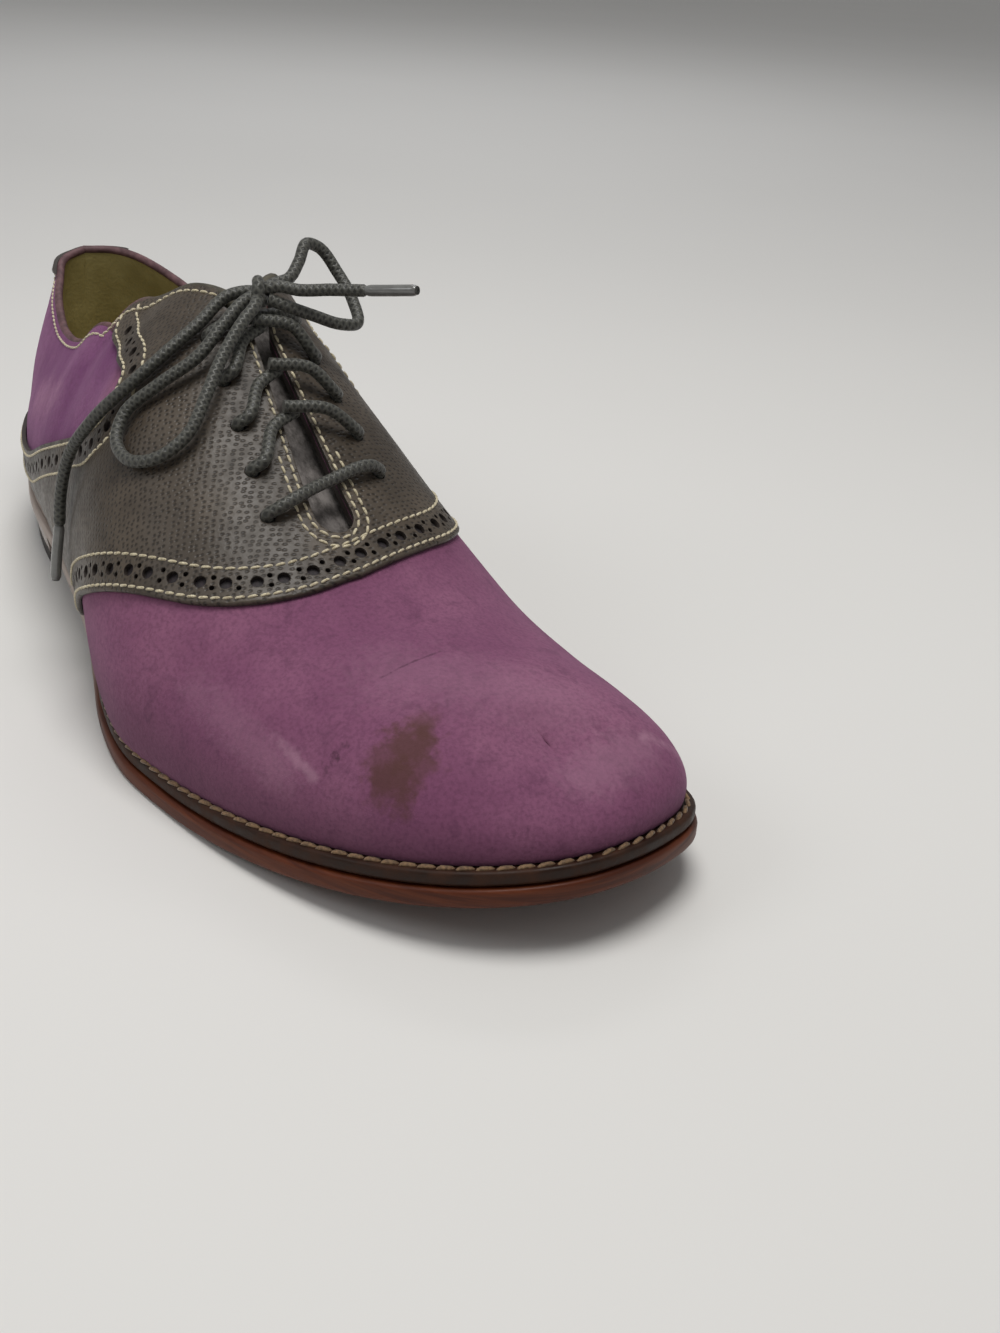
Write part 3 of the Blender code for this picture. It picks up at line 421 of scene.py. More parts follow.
class Finish:
    """A material that is put together node by node."""

    def __init__(self, name, **sockets):
        self.material = bpy.data.materials.new(name)
        self.material.use_nodes = True
        self.tree = self.material.node_tree
        self.shader = self.tree.nodes["Principled BSDF"]
        for socket, value in sockets.items():
            self.put(self.shader, socket.replace("_", " ").title().replace("Ior", "IOR"), value)
        self.where = self.tree.nodes.new("ShaderNodeTexCoord").outputs["Object"]
        self.height = None

    def put(self, node, socket, value):
        target = node.inputs[socket]
        if isinstance(value, bpy.types.NodeSocket):
            self.tree.links.new(value, target)
        elif getattr(target, "type", "") == "RGBA" and len(value) == 3:
            target.default_value = (*value, 1.0)
        else:
            target.default_value = value

    def add(self, kind, inputs=(), **settings):
        made = self.tree.nodes.new(kind)
        for name, value in settings.items():
            setattr(made, name, value)
        for socket, value in dict(inputs).items():
            self.put(made, socket, value)
        return made

    def noise(self, scale, detail=3.0, rough=0.55, where=None, distort=0.0):
        inputs = {"Vector": where or self.where, "Scale": scale, "Detail": detail,
                  "Roughness": rough, "Distortion": distort}
        return self.add("ShaderNodeTexNoise", inputs).outputs[0]

    def cells(self, scale):
        inputs = {"Vector": self.where, "Scale": scale}
        return self.add("ShaderNodeTexVoronoi", inputs, feature="F1").outputs["Distance"]

    def between(self, value, low, high, start=0.0, end=1.0, curve="SMOOTHSTEP"):
        inputs = {"Value": value, "From Min": low, "From Max": high, "To Min": start, "To Max": end}
        made = self.add("ShaderNodeMapRange", inputs, interpolation_type=curve)
        return made.outputs["Result"]

    def math(self, operation, first, second=0.5):
        made = self.add("ShaderNodeMath", {0: first, 1: second}, operation=operation)
        return made.outputs[0]

    def vector(self, operation, first, second):
        return self.add("ShaderNodeVectorMath", {0: first, 1: second}, operation=operation).outputs

    def mix(self, factor, first, second, blend="MIX"):
        made = self.add("ShaderNodeMix", {0: factor}, data_type="RGBA", blend_type=blend)
        self.put(made, 6, first)
        self.put(made, 7, second)
        return made.outputs[2]

    def wandering(self, distance, grain, ragged):
        """A distance with noise on it, so that the edge of a mask wanders."""
        waver = self.math("MULTIPLY", self.noise(grain, 4.0), ragged)
        return self.math("ADD", distance, self.math("SUBTRACT", waver, ragged / 2))

    def spot(self, centre, radius, soft, ragged, grain):
        """1 inside a round spot on the shoe, 0 outside it."""
        away = self.vector("DISTANCE", self.where, tuple(np.array(centre) + SHIFT))
        distance = self.wandering(away["Value"], grain, ragged)
        return self.between(distance, radius - soft, radius + soft, 1.0, 0.0)

    def line_mask(self, start, end, width, soft, ragged):
        """1 along a straight line on the shoe, 0 away from it."""
        start, end = np.array(start) + SHIFT, np.array(end) + SHIFT
        run = end - start
        from_start = self.vector("SUBTRACT", self.where, tuple(start))[0]
        shadow = self.vector("DOT_PRODUCT", from_start, tuple(run))["Value"]
        share = self.between(shadow, 0.0, float(run @ run), curve="LINEAR")
        along = self.add("ShaderNodeVectorMath", {0: tuple(run), "Scale": share}, operation="SCALE")
        away = self.vector("DISTANCE", from_start, along.outputs[0])["Value"]
        distance = self.wandering(away, 500.0, ragged)
        return self.between(distance, max(width - soft, 0.0), width + soft, 1.0, 0.0)

    def axis(self, name):
        return self.add("ShaderNodeSeparateXYZ", {0: self.where}).outputs[name]

    def ahead_of(self, first, second, amount):
        """An amount behind the first x of the last that falls to 0 at the second."""
        return self.between(self.axis("X"), SHIFT[0] + first, SHIFT[0] + second, amount, 0.0)

    def stretched(self, scale):
        return self.add("ShaderNodeMapping", {"Vector": self.where, "Scale": scale}).outputs[0]

    def colour(self, value):
        self.put(self.shader, "Base Color", value)

    def rough(self, value):
        self.put(self.shader, "Roughness", value)

    def bump(self, height, depth, strength=1.0):
        """Adds a bump layer of a real depth in metres."""
        inputs = {"Height": height, "Distance": depth, "Strength": strength}
        if self.height:
            inputs["Normal"] = self.height
        made = self.add("ShaderNodeBump", inputs)
        self.height = made.outputs["Normal"]
        self.put(self.shader, "Normal", self.height)

    def soft_edges(self, radius):
        """Rounds the look of sharp edges; it is called before any bump."""
        self.height = self.add("ShaderNodeBevel", {"Radius": radius}, samples=6).outputs[0]
        self.put(self.shader, "Normal", self.height)


print("material tools ready")

# %% [markdown]
# The purple nubuck is napped and mottled. The forefoot is a redder purple than the heel, with a
# brown stain, dark streaks, pale rubbed lines and a fine crease with painted shade along it, near
# where the photograph has them.
# %% Nubuck
VAMP = (0.180, 0.060, 0.122)
VAMP_LIGHT = (0.245, 0.095, 0.165)
VAMP_DARK = (0.085, 0.028, 0.060)
HEEL_PURPLE = (0.122, 0.031, 0.108)
HEEL_LIGHT = (0.200, 0.075, 0.170)
STAIN = (0.080, 0.034, 0.026)
STREAK = (0.040, 0.016, 0.026)
RUBBED = (0.340, 0.180, 0.250)
# Painted shade along the fine crease
CREASE_SHADE = (0.045, 0.015, 0.032)
# Painted shade for the nubuck's low part near the welt
NEAR_WELT_SHADE = (0.075, 0.028, 0.048)

# Between these two x on the last, the heel's purple passes into the forefoot's
PURPLE_CHANGE = (0.125, 0.140)

# The stain is a few ragged blots: a place, a radius and how far the edge wanders. The streaks
# have the same form
BLOTS = (
    ((0.2722, -0.0220, 0.0345), 0.0074, 0.012), ((0.2700, -0.0185, 0.0368), 0.0050, 0.012),
    ((0.2745, -0.0262, 0.0318), 0.0058, 0.012), ((0.2670, -0.0145, 0.0396), 0.0034, 0.008),
)
STREAKS = (
    ((0.2610, -0.0330, 0.0310), 0.0012, 0.010), ((0.2600, -0.0300, 0.0335), 0.0009, 0.009),
)
# The dark line of painted shade along the fine crease, as pairs of ends
CREASE_SHADE_LINES = (
    ((0.2510, -0.0250, 0.0395), (0.2495, -0.0130, 0.0425)),
    ((0.2495, -0.0130, 0.0425), (0.2470, 0.0000, 0.0435)),
)

# Lighter rubbed lines: two ends, a width and a strength
RUBS = (
    ((0.2420, -0.0405, 0.0330), (0.2590, -0.0350, 0.0270), 0.0011, 0.55),
    ((0.2200, -0.0440, 0.0300), (0.2520, -0.0400, 0.0260), 0.0040, 0.25),
    ((0.2500, -0.0120, 0.0430), (0.2720, 0.0140, 0.0430), 0.0090, 0.22),
    ((0.2830, 0.0300, 0.0330), (0.2850, 0.0400, 0.0250), 0.0016, 0.60),
    ((0.2900, 0.0100, 0.0330), (0.2860, 0.0260, 0.0330), 0.0050, 0.30),
    ((0.0620, -0.0320, 0.0500), (0.0850, -0.0330, 0.0560), 0.0050, 0.40),
    ((0.0900, -0.0330, 0.0600), (0.1050, -0.0310, 0.0560), 0.0035, 0.35),
)


def add_stains_and_crease_shade(made, base):
    """Lays the stain, the streaks, the rubbed lines and painted shade along the fine crease on the
    nubuck.
    """
    for centre, radius, wander in BLOTS:
        blot = made.spot(centre, radius, 0.0020, wander, 260.0)
        base = made.mix(made.math("MULTIPLY", blot, 0.58), base, STAIN)
    for centre, radius, wander in STREAKS:
        streak = made.spot(centre, radius, 0.0012, wander, 420.0)
        base = made.mix(made.math("MULTIPLY", streak, 0.6), base, STREAK)
    for start, end, width, strength in RUBS:
        rub = made.line_mask(start, end, width, width * 0.9, width * 2.2)
        base = made.mix(made.math("MULTIPLY", rub, strength), base, RUBBED)
    # Painted shade: a thin dark line along the fine crease
    for start, end in CREASE_SHADE_LINES:
        line = made.line_mask(start, end, 0.00015, 0.00035, 0.0012)
        base = made.mix(made.math("MULTIPLY", line, 0.6), base, CREASE_SHADE)
    return base


def make_nubuck():
    made = Finish("nubuck", roughness=0.85, sheen_weight=0.18, sheen_roughness=0.5,
                  sheen_tint=(0.80, 0.45, 0.70, 1.0), specular_ior_level=0.2)
    clouds = made.noise(28.0, 5.0, 0.6)
    mottle = made.noise(160.0, 4.0, 0.6, distort=0.6)
    grain = made.noise(1100.0, 3.0, 0.6)
    vamp = made.mix(made.between(clouds, 0.35, 0.72), VAMP, VAMP_LIGHT)
    vamp = made.mix(made.between(mottle, 0.52, 0.78, 0.0, 0.55), vamp, VAMP_DARK)
    heel = made.mix(made.between(clouds, 0.42, 0.70), HEEL_PURPLE, HEEL_LIGHT)
    heel = made.mix(made.between(mottle, 0.55, 0.80, 0.0, 0.4), heel, VAMP_DARK)
    base = made.mix(made.ahead_of(*PURPLE_CHANGE, 1.0), vamp, heel)
    base = made.mix(made.between(grain, 0.35, 0.75, 0.0, 0.45), base, VAMP_DARK)
    # Painted shade: the nubuck is painted darker towards the bottom, near the welt
    welt_shade_mask = made.between(made.axis("Z"), 0.012, 0.030, 0.55, 0.0)
    base = made.mix(welt_shade_mask, base, NEAR_WELT_SHADE)
    base = add_stains_and_crease_shade(made, base)
    made.colour(base)
    made.bump(made.noise(90.0, 3.0), 0.0005, 0.5)
    made.bump(mottle, 0.0004, 0.5)
    made.bump(grain, 0.00018, 0.6)
    made.bump(made.noise(3200.0, 2.0), 0.00008, 0.6)
    return made.material


nubuck = make_nubuck()
print("made", nubuck.name)

# %% [markdown]
# The saddle's calf is dark grey-brown, printed with short slanting dashes, and glossier in patches
# where it was handled. Its cut edges are dyed darker.
# %% Saddle leather
SADDLE = (0.050, 0.038, 0.027)
SADDLE_LIGHT = (0.086, 0.067, 0.049)
SADDLE_DARK = (0.012, 0.009, 0.007)


def printed_plane(made):
    """Coordinates on the leather for its printed dashes: along the shoe, and up each flank."""
    split = made.add("ShaderNodeSeparateXYZ", {0: made.where}).outputs
    flank = made.math("SUBTRACT", split["Z"], made.math("ABSOLUTE", split["Y"]))
    flat = made.add("ShaderNodeCombineXYZ", {0: split["X"], 1: made.math("MULTIPLY", flank, 0.8)})
    turned = {"Vector": flat.outputs[0], "Rotation": (0.0, 0.0, 0.62), "Scale": (1.0, 0.60, 1.0)}
    return made.add("ShaderNodeMapping", turned).outputs[0]


def make_saddle_leather():
    made = Finish("saddle_leather", roughness=0.45, specular_ior_level=0.32, coat_weight=0.06,
                  coat_roughness=0.30)
    made.soft_edges(0.0004)
    clouds = made.noise(45.0, 4.0, 0.6)
    wear = made.noise(220.0, 4.0, 0.65)
    base = made.mix(made.between(clouds, 0.38, 0.70), SADDLE, SADDLE_LIGHT)
    base = made.mix(made.between(wear, 0.55, 0.80, 0.0, 0.6), base, SADDLE_DARK)
    dashes = made.add("ShaderNodeTexVoronoi", {"Vector": printed_plane(made), "Scale": 860.0,
                                               "Randomness": 0.5}, voronoi_dimensions="2D")
    pits = made.between(dashes.outputs["Distance"], 0.06, 0.40, 1.0, 0.0)
    pits = made.math("MULTIPLY", pits, made.between(made.noise(120.0, 2.0), 0.30, 0.55, 0.7, 1.0))
    made.colour(made.mix(made.math("MULTIPLY", pits, 0.80), base, SADDLE_DARK))
    made.rough(made.between(wear, 0.30, 0.75, 0.36, 0.54))
    made.bump(made.noise(70.0, 3.0), 0.0006, 0.35)
    made.bump(made.math("SUBTRACT", 1.0, pits), 0.00020, 0.8)
    made.bump(made.noise(1300.0, 3.0), 0.00010, 0.6)
    return made.material


def make_saddle_edge():
    made = Finish("saddle_edge", roughness=0.6)
    fibre = made.noise(900.0, 3.0)
    made.colour(made.mix(fibre, (0.018, 0.013, 0.011), (0.045, 0.034, 0.028)))
    made.bump(fibre, 0.0001)
    return made.material


saddle_leather = make_saddle_leather()
saddle_edge = make_saddle_edge()
print("made", saddle_leather.name, saddle_edge.name)

# %% [markdown]
# The other finishes: olive lining, dark waxed welt, reddish sole edge, polished heel, rubber,
# brushed tongue, sewing threads, the waxed lace and its clear tips.
# %% Other finishes
# The x on the last where the welt and the sole's edge pass from a painted reflection, pale towards
# the heel, to their dark dressing towards the toe
REFLECTION_FADE_START = 0.125


def make_lining():
    made = Finish("lining_leather", roughness=0.6, specular_ior_level=0.35)
    clouds = made.between(made.noise(60.0, 4.0), 0.35, 0.70)
    made.colour(made.mix(clouds, (0.275, 0.222, 0.078), (0.390, 0.322, 0.130)))
    made.bump(made.cells(900.0), 0.00012, 0.6)
    made.bump(made.noise(120.0, 3.0), 0.0004, 0.4)
    return made.material


def make_tongue_leather():
    made = Finish("tongue_brushed", roughness=0.9, sheen_weight=0.3, specular_ior_level=0.2)
    fibres = made.noise(420.0, 5.0, 0.7, made.stretched((0.25, 1.0, 1.0)))
    brushed = made.between(fibres, 0.3, 0.7)
    made.colour(made.mix(brushed, (0.055, 0.048, 0.044), (0.210, 0.190, 0.180)))
    made.bump(fibres, 0.0004)
    return made.material


def make_welt():
    made = Finish("welt_waxed", roughness=0.5, specular_ior_level=0.25)
    wear = made.noise(180.0, 4.0, 0.65)
    worn = made.between(wear, 0.35, 0.75)
    waxed = made.mix(worn, (0.017, 0.0055, 0.0018), (0.042, 0.014, 0.005))
    # Painted reflection: the welt is painted pale towards the heel
    painted_reflection = made.ahead_of(REFLECTION_FADE_START, REFLECTION_FADE_START + 0.040, 0.8)
    made.colour(made.mix(painted_reflection, waxed, (0.260, 0.205, 0.175)))
    made.rough(made.between(wear, 0.3, 0.7, 0.42, 0.65))
    made.bump(wear, 0.0003, 0.6)
    return made.material


def make_sole():
    made = Finish("sole_edge_leather", roughness=0.5, specular_ior_level=0.25, coat_weight=0.05)
    layers = made.noise(260.0, 4.0, 0.65, made.stretched((0.12, 0.12, 3.0)))
    wear = made.noise(90.0, 4.0)
    base = made.mix(made.between(layers, 0.3, 0.7), (0.052, 0.009, 0.002), (0.120, 0.026, 0.006))
    base = made.mix(made.between(wear, 0.55, 0.8, 0.0, 0.6), base, (0.022, 0.009, 0.005))
    # Painted reflection: the sole's edge is painted pale towards the heel
    painted_reflection = made.ahead_of(REFLECTION_FADE_START, REFLECTION_FADE_START + 0.050, 1.0)
    under = made.between(made.axis("Z"), 0.0, 0.0006, 0.5, 0.0)
    # The pale colour serves the painted reflection and the sole's own pale bottom face
    pale = made.mix(made.between(layers, 0.3, 0.7), (0.300, 0.235, 0.200), (0.400, 0.330, 0.290))
    base = made.mix(made.math("MAXIMUM", painted_reflection, under), base, pale)
    made.colour(base)
    made.bump(layers, 0.0002, 0.6)
    return made.material


def make_heel():
    made = Finish("heel_stacked", roughness=0.30, specular_ior_level=0.5, coat_weight=0.5,
                  coat_roughness=0.15)
    layers = made.add("ShaderNodeTexWave", {"Vector": made.where, "Scale": 55.0, "Distortion": 1.0,
                                            "Detail": 3.0}, bands_direction="Z").outputs[1]
    # The heel's pale colour is partly a painted reflection of the bright surroundings; its stack
    # lines are its own
    made.colour(made.mix(layers, (0.330, 0.260, 0.220), (0.430, 0.360, 0.320)))
    made.bump(made.noise(300.0, 3.0), 0.0001, 0.6)
    return made.material


def make_rubber():
    made = Finish("heel_rubber_worn", roughness=0.75)
    wear = made.noise(240.0, 4.0)
    made.colour(made.mix(wear, (0.016, 0.013, 0.011), (0.050, 0.042, 0.036)))
    made.bump(wear, 0.0002)
    return made.material


def make_thread(name, colour, dark):
    made = Finish(name, roughness=0.7, sheen_weight=0.2)
    twist = made.noise(1500.0, 2.0)
    made.colour(made.mix(made.between(twist, 0.3, 0.7), colour, dark))
    made.bump(twist, 0.0001)
    return made.material


def make_lace():
    """The braid runs along the UV map, whose U is the distance along the lace in metres."""
    made = Finish("lace_braid", roughness=0.45, specular_ior_level=0.5, sheen_weight=0.1)
    place = made.add("ShaderNodeTexCoord").outputs["UV"]
    split = made.add("ShaderNodeSeparateXYZ", {0: place})
    along = made.math("MULTIPLY", split.outputs["X"], 2 * math.pi / 0.0017)
    around = made.math("MULTIPLY", split.outputs["Y"], 2 * math.pi * 4)
    one = made.math("SINE", made.math("ADD", along, around), 0.0)
    other = made.math("SINE", made.math("SUBTRACT", along, around), 0.0)
    braid = made.between(made.math("MAXIMUM", one, other), -0.6, 1.0)
    worn = made.mix(made.noise(500.0, 3.0), (0.036, 0.036, 0.029), (0.085, 0.084, 0.069))
    made.colour(made.mix(braid, (0.015, 0.015, 0.012), worn))
    made.bump(braid, 0.00018, 0.7)
    made.bump(made.noise(2500.0, 2.0), 0.0001, 0.5)
    return made.material


def make_aglet():
    made = Finish("aglet_sleeve", roughness=0.18, specular_ior_level=0.7, coat_weight=0.6)
    made.colour(made.mix(made.noise(400.0, 2.0), (0.085, 0.085, 0.080), (0.190, 0.190, 0.180)))
    made.bump(made.noise(600.0, 2.0), 0.0001, 0.4)
    return made.material


def make_floor():
    made = Finish("studio_floor", roughness=0.9, specular_ior_level=0.1)
    made.colour(made.mix(made.noise(3.0, 2.0), (0.70, 0.69, 0.67), (0.73, 0.72, 0.70)))
    return made.material


lining = make_lining()
tongue_brushed = make_tongue_leather()
welt_waxed = make_welt()
sole_leather = make_sole()
heel_stacked = make_heel()
heel_rubber = make_rubber()
cream_thread = make_thread("cream_thread", (0.640, 0.570, 0.400), (0.400, 0.340, 0.220))
tan_thread = make_thread("tan_thread", (0.230, 0.135, 0.062), (0.100, 0.056, 0.026))
lace_braid = make_lace()
aglet_sleeve = make_aglet()
# A near-black finish for discs of painted shade under the punched holes
hole_shade_finish = make_thread("punched_hole_shade", (0.020, 0.010, 0.014), (0.008, 0.005, 0.006))
print("made the other finishes")

# %% [markdown]
# Meshes are made from grids of points. Borders that two grids share are merged, so each piece is
# one closed skin.
# %% Mesh tools
MERGE = 1e-6
SHARP = 40.0
SEAM_STEP = 0.001


def shade(mesh, sharp):
    mesh.shade_smooth()
    mesh.set_sharp_from_angle(angle=math.radians(sharp))


def object_of(name, bm, finishes):
    """An object made of the mesh and its finishes, linked to the scene."""
    bmesh.ops.recalc_face_normals(bm, faces=bm.faces)
    mesh = bpy.data.meshes.new(name)
    bm.to_mesh(mesh)
    bm.free()
    for finish in finishes:
        mesh.materials.append(finish)
    made = bpy.data.objects.new(name, mesh)
    bpy.context.scene.collection.objects.link(made)
    return made


def finish_piece(name, bm, finishes, replaced=(), sharp=SHARP):
    """Turns a mesh into a piece that rides with the shoe."""
    piece = object_of(name, bm, finishes)
    shade(piece.data, sharp)
    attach(piece, "root")
    if replaced:
        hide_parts(*replaced)
    return piece


def mesh_of(grids):
    """A mesh from grids: each is an array of points and a material number."""
    bm = bmesh.new()
    for points, number in grids:
        rows, cols = points.shape[:2]
        verts = [[bm.verts.new(place) for place in row] for row in (points + SHIFT).tolist()]
        for r in range(rows - 1):
            for c in range(cols - 1):
                corners = (verts[r][c], verts[r][c + 1], verts[r + 1][c + 1], verts[r + 1][c])
                bm.faces.new(corners).material_index = number
    bmesh.ops.remove_doubles(bm, verts=bm.verts, dist=MERGE)
    bmesh.ops.dissolve_degenerate(bm, dist=MERGE, edges=bm.edges)
    return bm


def closed_wall(outer, inner, open_top, numbers):
    """The grids of one side of a wall: outer, inner, bottom, top and front faces."""
    strips = [(outer, numbers[0]), (inner, numbers[1]),
              (np.stack([outer[0], inner[0]]), numbers[2]),
              (np.stack([outer[-1, :open_top], inner[-1, :open_top]]), numbers[3])]
    if numbers[4] is not None:
        strips.append((np.stack([outer[:, -1], inner[:, -1]]), numbers[4]))
    return strips


def carve(piece, tools):
    """Cuts the tools out of a piece, and gives the cuts the tools' finish."""
    for tool in tools:
        cut = piece.modifiers.new(tool.name, "BOOLEAN")
        cut.operation = "DIFFERENCE"
        cut.solver = "EXACT"
        cut.material_mode = "TRANSFER"
        cut.object = tool
    graph = bpy.context.evaluated_depsgraph_get()
    mesh = bpy.data.meshes.new_from_object(piece.evaluated_get(graph), depsgraph=graph)
    piece.modifiers.clear()
    piece.data = mesh
    shade(mesh, SHARP)
    print(piece.name, "carved:", len(mesh.polygons), "faces")


def prism_tool(name, plan, reach, finish):
    """A closed outline of 3-D points, drawn out by a reach."""
    bm = bmesh.new()
    base = bm.faces.new([bm.verts.new(place + SHIFT) for place in plan])
    top = bmesh.ops.extrude_face_region(bm, geom=[base])
    moved = [v for v in top["geom"] if isinstance(v, bmesh.types.BMVert)]
    bmesh.ops.translate(bm, verts=moved, vec=reach)
    return object_of(name, bm, (finish,))


def rods(holes, depth, sides):
    """A mesh with a round rod at each hole: a place, a direction and a radius."""
    bm = bmesh.new()
    for place, out, radius in holes:
        turned = Vector(out).to_track_quat("Z", "Y").to_matrix().to_4x4()
        matrix = Matrix.Translation(Vector(place + SHIFT)) @ turned
        bmesh.ops.create_cone(bm, cap_ends=True, segments=sides, radius1=radius, radius2=radius,
                              depth=depth, matrix=matrix)
    return bm


def length_along(points):
    """The distance along a line at each of its points."""
    return np.concatenate([[0.0], np.cumsum(np.linalg.norm(np.diff(points, axis=0), axis=1))])


def route(points, step):
    """Points about a step apart on a smooth curve through a few chosen ones."""
    places = np.array(points, float)
    knots = length_along(places)
    stops = np.linspace(0.0, knots[-1], max(int(round(knots[-1] / step)), 3) + 1)
    return np.stack([smooth(knots, places[:, axis], stops) for axis in range(3)], -1)


def even(points):
    """The same line with its points spaced evenly, a seam's step apart."""
    knots = length_along(points)
    stops = np.linspace(0.0, knots[-1], max(int(round(knots[-1] / SEAM_STEP)), 2) + 1)
    return np.stack([np.interp(stops, knots, points[:, axis]) for axis in range(3)], -1)


def add_tube(bm, points, radius, sides):
    """Adds a round bar along a path. Its UV map runs along the bar in metres and once round."""
    places = points + SHIFT
    ahead = unit(np.gradient(places, axis=0))
    radii = np.broadcast_to(radius, len(places))
    uv = bm.loops.layers.uv.verify()
    run = length_along(places)
    across = np.cross(ahead[0], (0.0, 0.0, 1.0))
    if np.linalg.norm(across) < 0.1:
        across = np.cross(ahead[0], (0.0, 1.0, 0.0))
    rings = []
    turns = np.linspace(0.0, 2 * np.pi, sides, endpoint=False)
    for place, forward, size in zip(places, ahead, radii):
        across = unit(across - forward * (across @ forward))
        other = np.cross(forward, across)
        ring = place + size * (np.cos(turns)[:, None] * across + np.sin(turns)[:, None] * other)
        rings.append([bm.verts.new(point) for point in ring.tolist()])
    for k in range(len(rings) - 1):
        for i in range(sides):
            j = (i + 1) % sides
            face = bm.faces.new((rings[k][i], rings[k][j], rings[k + 1][j], rings[k + 1][i]))
            marks = ((run[k], i), (run[k], i + 1), (run[k + 1], i + 1), (run[k + 1], i))
            for loop, (distance, turn) in zip(face.loops, marks):
                loop[uv].uv = (distance, turn / sides)
    bm.faces.new(rings[0])
    bm.faces.new(rings[-1])


print("mesh tools ready")

# %% [markdown]
# The upper is one hollow skin from the welt to the topline: nubuck outside, lining inside. The
# throat and the lace holes are cut through it.
# %% Upper
UPPER_STATIONS = np.union1d(np.linspace(0.0, 1.0, 201), [RIDGE_STATION])
UPPER_SHARES = np.linspace(0.0, 1.0, 49)
THROAT_FLOOR_X = 0.2
THROAT_REACH = (0.0, 0.0, INSTEP_HEIGHT * 1.5)
DRILL_DEPTH = 0.014


def skin_grid(side, stations, shares, offset):
    return off_last(side, stations[None, :], shares[:, None], offset)


open_stations = int(np.searchsorted(UPPER_STATIONS, RIDGE_STATION)) + 1
upper_grids = []
for side in (-1, 1):
    outer = skin_grid(side, UPPER_STATIONS, UPPER_SHARES, 0.0)
    inner = skin_grid(side, UPPER_STATIONS, UPPER_SHARES, -WALL)
    upper_grids += closed_wall(outer, inner, open_stations, (0, 1, 0, 0, None))
upper = finish_piece("upper_shell", mesh_of(upper_grids), (nubuck, lining), ("upper",))
throat_floor = float(sole_top(THROAT_FLOOR_X)) + INSOLE + THROAT_DROP
throat_plan = [np.array((*place, throat_floor)) for place in throat_outline()]
throat_tool = prism_tool("throat_tool", throat_plan, THROAT_REACH, saddle_edge)
lace_rods = rods([(place, out, EYELET / 2) for place, out in eyelets], DRILL_DEPTH, 24)
lace_drills = object_of("lace_drills", lace_rods, (saddle_edge,))
carve(upper, (throat_tool, lace_drills))

# %% [markdown]
# The outer faces of the upper and of the overlays are kept as search trees, so that seams, holes
# and stitches can be laid on them from a side view or from above.
# %% Surfaces to sew on
FAR_ASIDE = 0.2
FAR_ABOVE = 0.3


def face_tree(offset):
    points, faces = [], []
    for side in (-1, 1):
        grid = skin_grid(side, UPPER_STATIONS, UPPER_SHARES, offset)
        rows, cols = grid.shape[:2]
        index = np.arange(rows * cols).reshape(rows, cols) + len(points)
        quads = np.stack([index[:-1, :-1], index[:-1, 1:], index[1:, 1:], index[1:, :-1]], -1)
        points += grid.reshape(-1, 3).tolist()
        faces += quads.reshape(-1, 4).tolist()
    return BVHTree.FromPolygons(points, faces)


bare_tree = face_tree(0.0)
cover_tree = face_tree(SKIN_TOP)


def out_of(place, normal):
    """The normal of a face, turned away from the inside of the shoe."""
    middle = np.array((place[0], float(ridge_y(place[0])) * 0.5, float(sole_top(place[0])) + 0.010))
    normal = np.array(normal)
    return normal if normal @ (np.array(place) - middle) > 0 else -normal


def laid(tree, points):
    """A line laid on a surface: its places and its outward directions."""
    places, normals = [], []
    for point in points:
        place, normal, _, _ = tree.find_nearest(Vector(point))
        places.append(np.array(place))
        normals.append(out_of(place, normal))
    return np.array(places), np.array(normals)


def cast(tree, starts, ray):
    """A line laid where rays from the starts meet a surface. A ray that misses is left out."""
    found = [tree.ray_cast(Vector(start), Vector(ray))[0] for start in starts]
    return laid(tree, even(np.array([tuple(place) for place in found if place is not None])))


def relaxed(points):
    """The line with its small waves smoothed out."""
    points = points.copy()
    for _ in range(12):
        points[1:-1] = (points[:-2] + 2 * points[1:-1] + points[2:]) / 4
    return points


def beside(tree, line, distance):
    """A line a distance to the left of another one on the same surface."""
    places, normals = line
    across = unit(np.cross(relaxed(normals), unit(np.gradient(relaxed(places), axis=0))))
    return laid(tree, relaxed(even(places + across * distance)))


def front_line(tree, offset):
    """The saddle's front edge from the outer side's welt over the ridge to the inner side's."""
    halves = []
    for side in (-1, 1):
        edge = FRONT_EDGE[side]
        shares = np.linspace(0.0, 1.0, 80)
        stations = smooth([pair[1] for pair in edge], [pair[0] for pair in edge], shares)
        halves.append(off_last(side, stations, shares, offset))
    return laid(tree, even(np.concatenate([halves[0], halves[1][::-1][1:]])))


def quarter_curve():
    edge = np.array([(x * LENGTH, 0.0, z * BACK_HEIGHT) for x, z in QUARTER_EDGE])
    return route(edge[:-2], 0.002), edge[-2:]


def quarter_line(side):
    """The open quarter's edge on one side, from the heel's back to the topline."""
    curve = quarter_curve()[0]
    starts = [(x, side * FAR_ASIDE, z) for x, z in curve[:, (0, 2)]]
    return cast(cover_tree, starts, (0.0, -side, 0.0))


front_edge = front_line(cover_tree, SKIN_TOP)
quarter_edges = {side: quarter_line(side) for side in (-1, 1)}
print("front edge", len(front_edge[0]), "points, quarter edges",
      [len(line[0]) for line in quarter_edges.values()])

# %% [markdown]
# The saddle is an overlay of its own. Its front edge is rolled over. The quarter, the throat, the
# lace holes and the punched bands are cut out of it.
# %% Saddle
BAND_FIRST = 0.0015
BAND_SECOND = 0.0090
BAND_MIDDLE = (BAND_FIRST + BAND_SECOND) / 2
LARGE_HOLE = 0.00148
SMALL_HOLE = 0.00062
HOLE_PITCH = 0.0066
REAR_PITCH = 0.0084
SMALL_SPREAD = 0.0013
ROLL = 0.0007


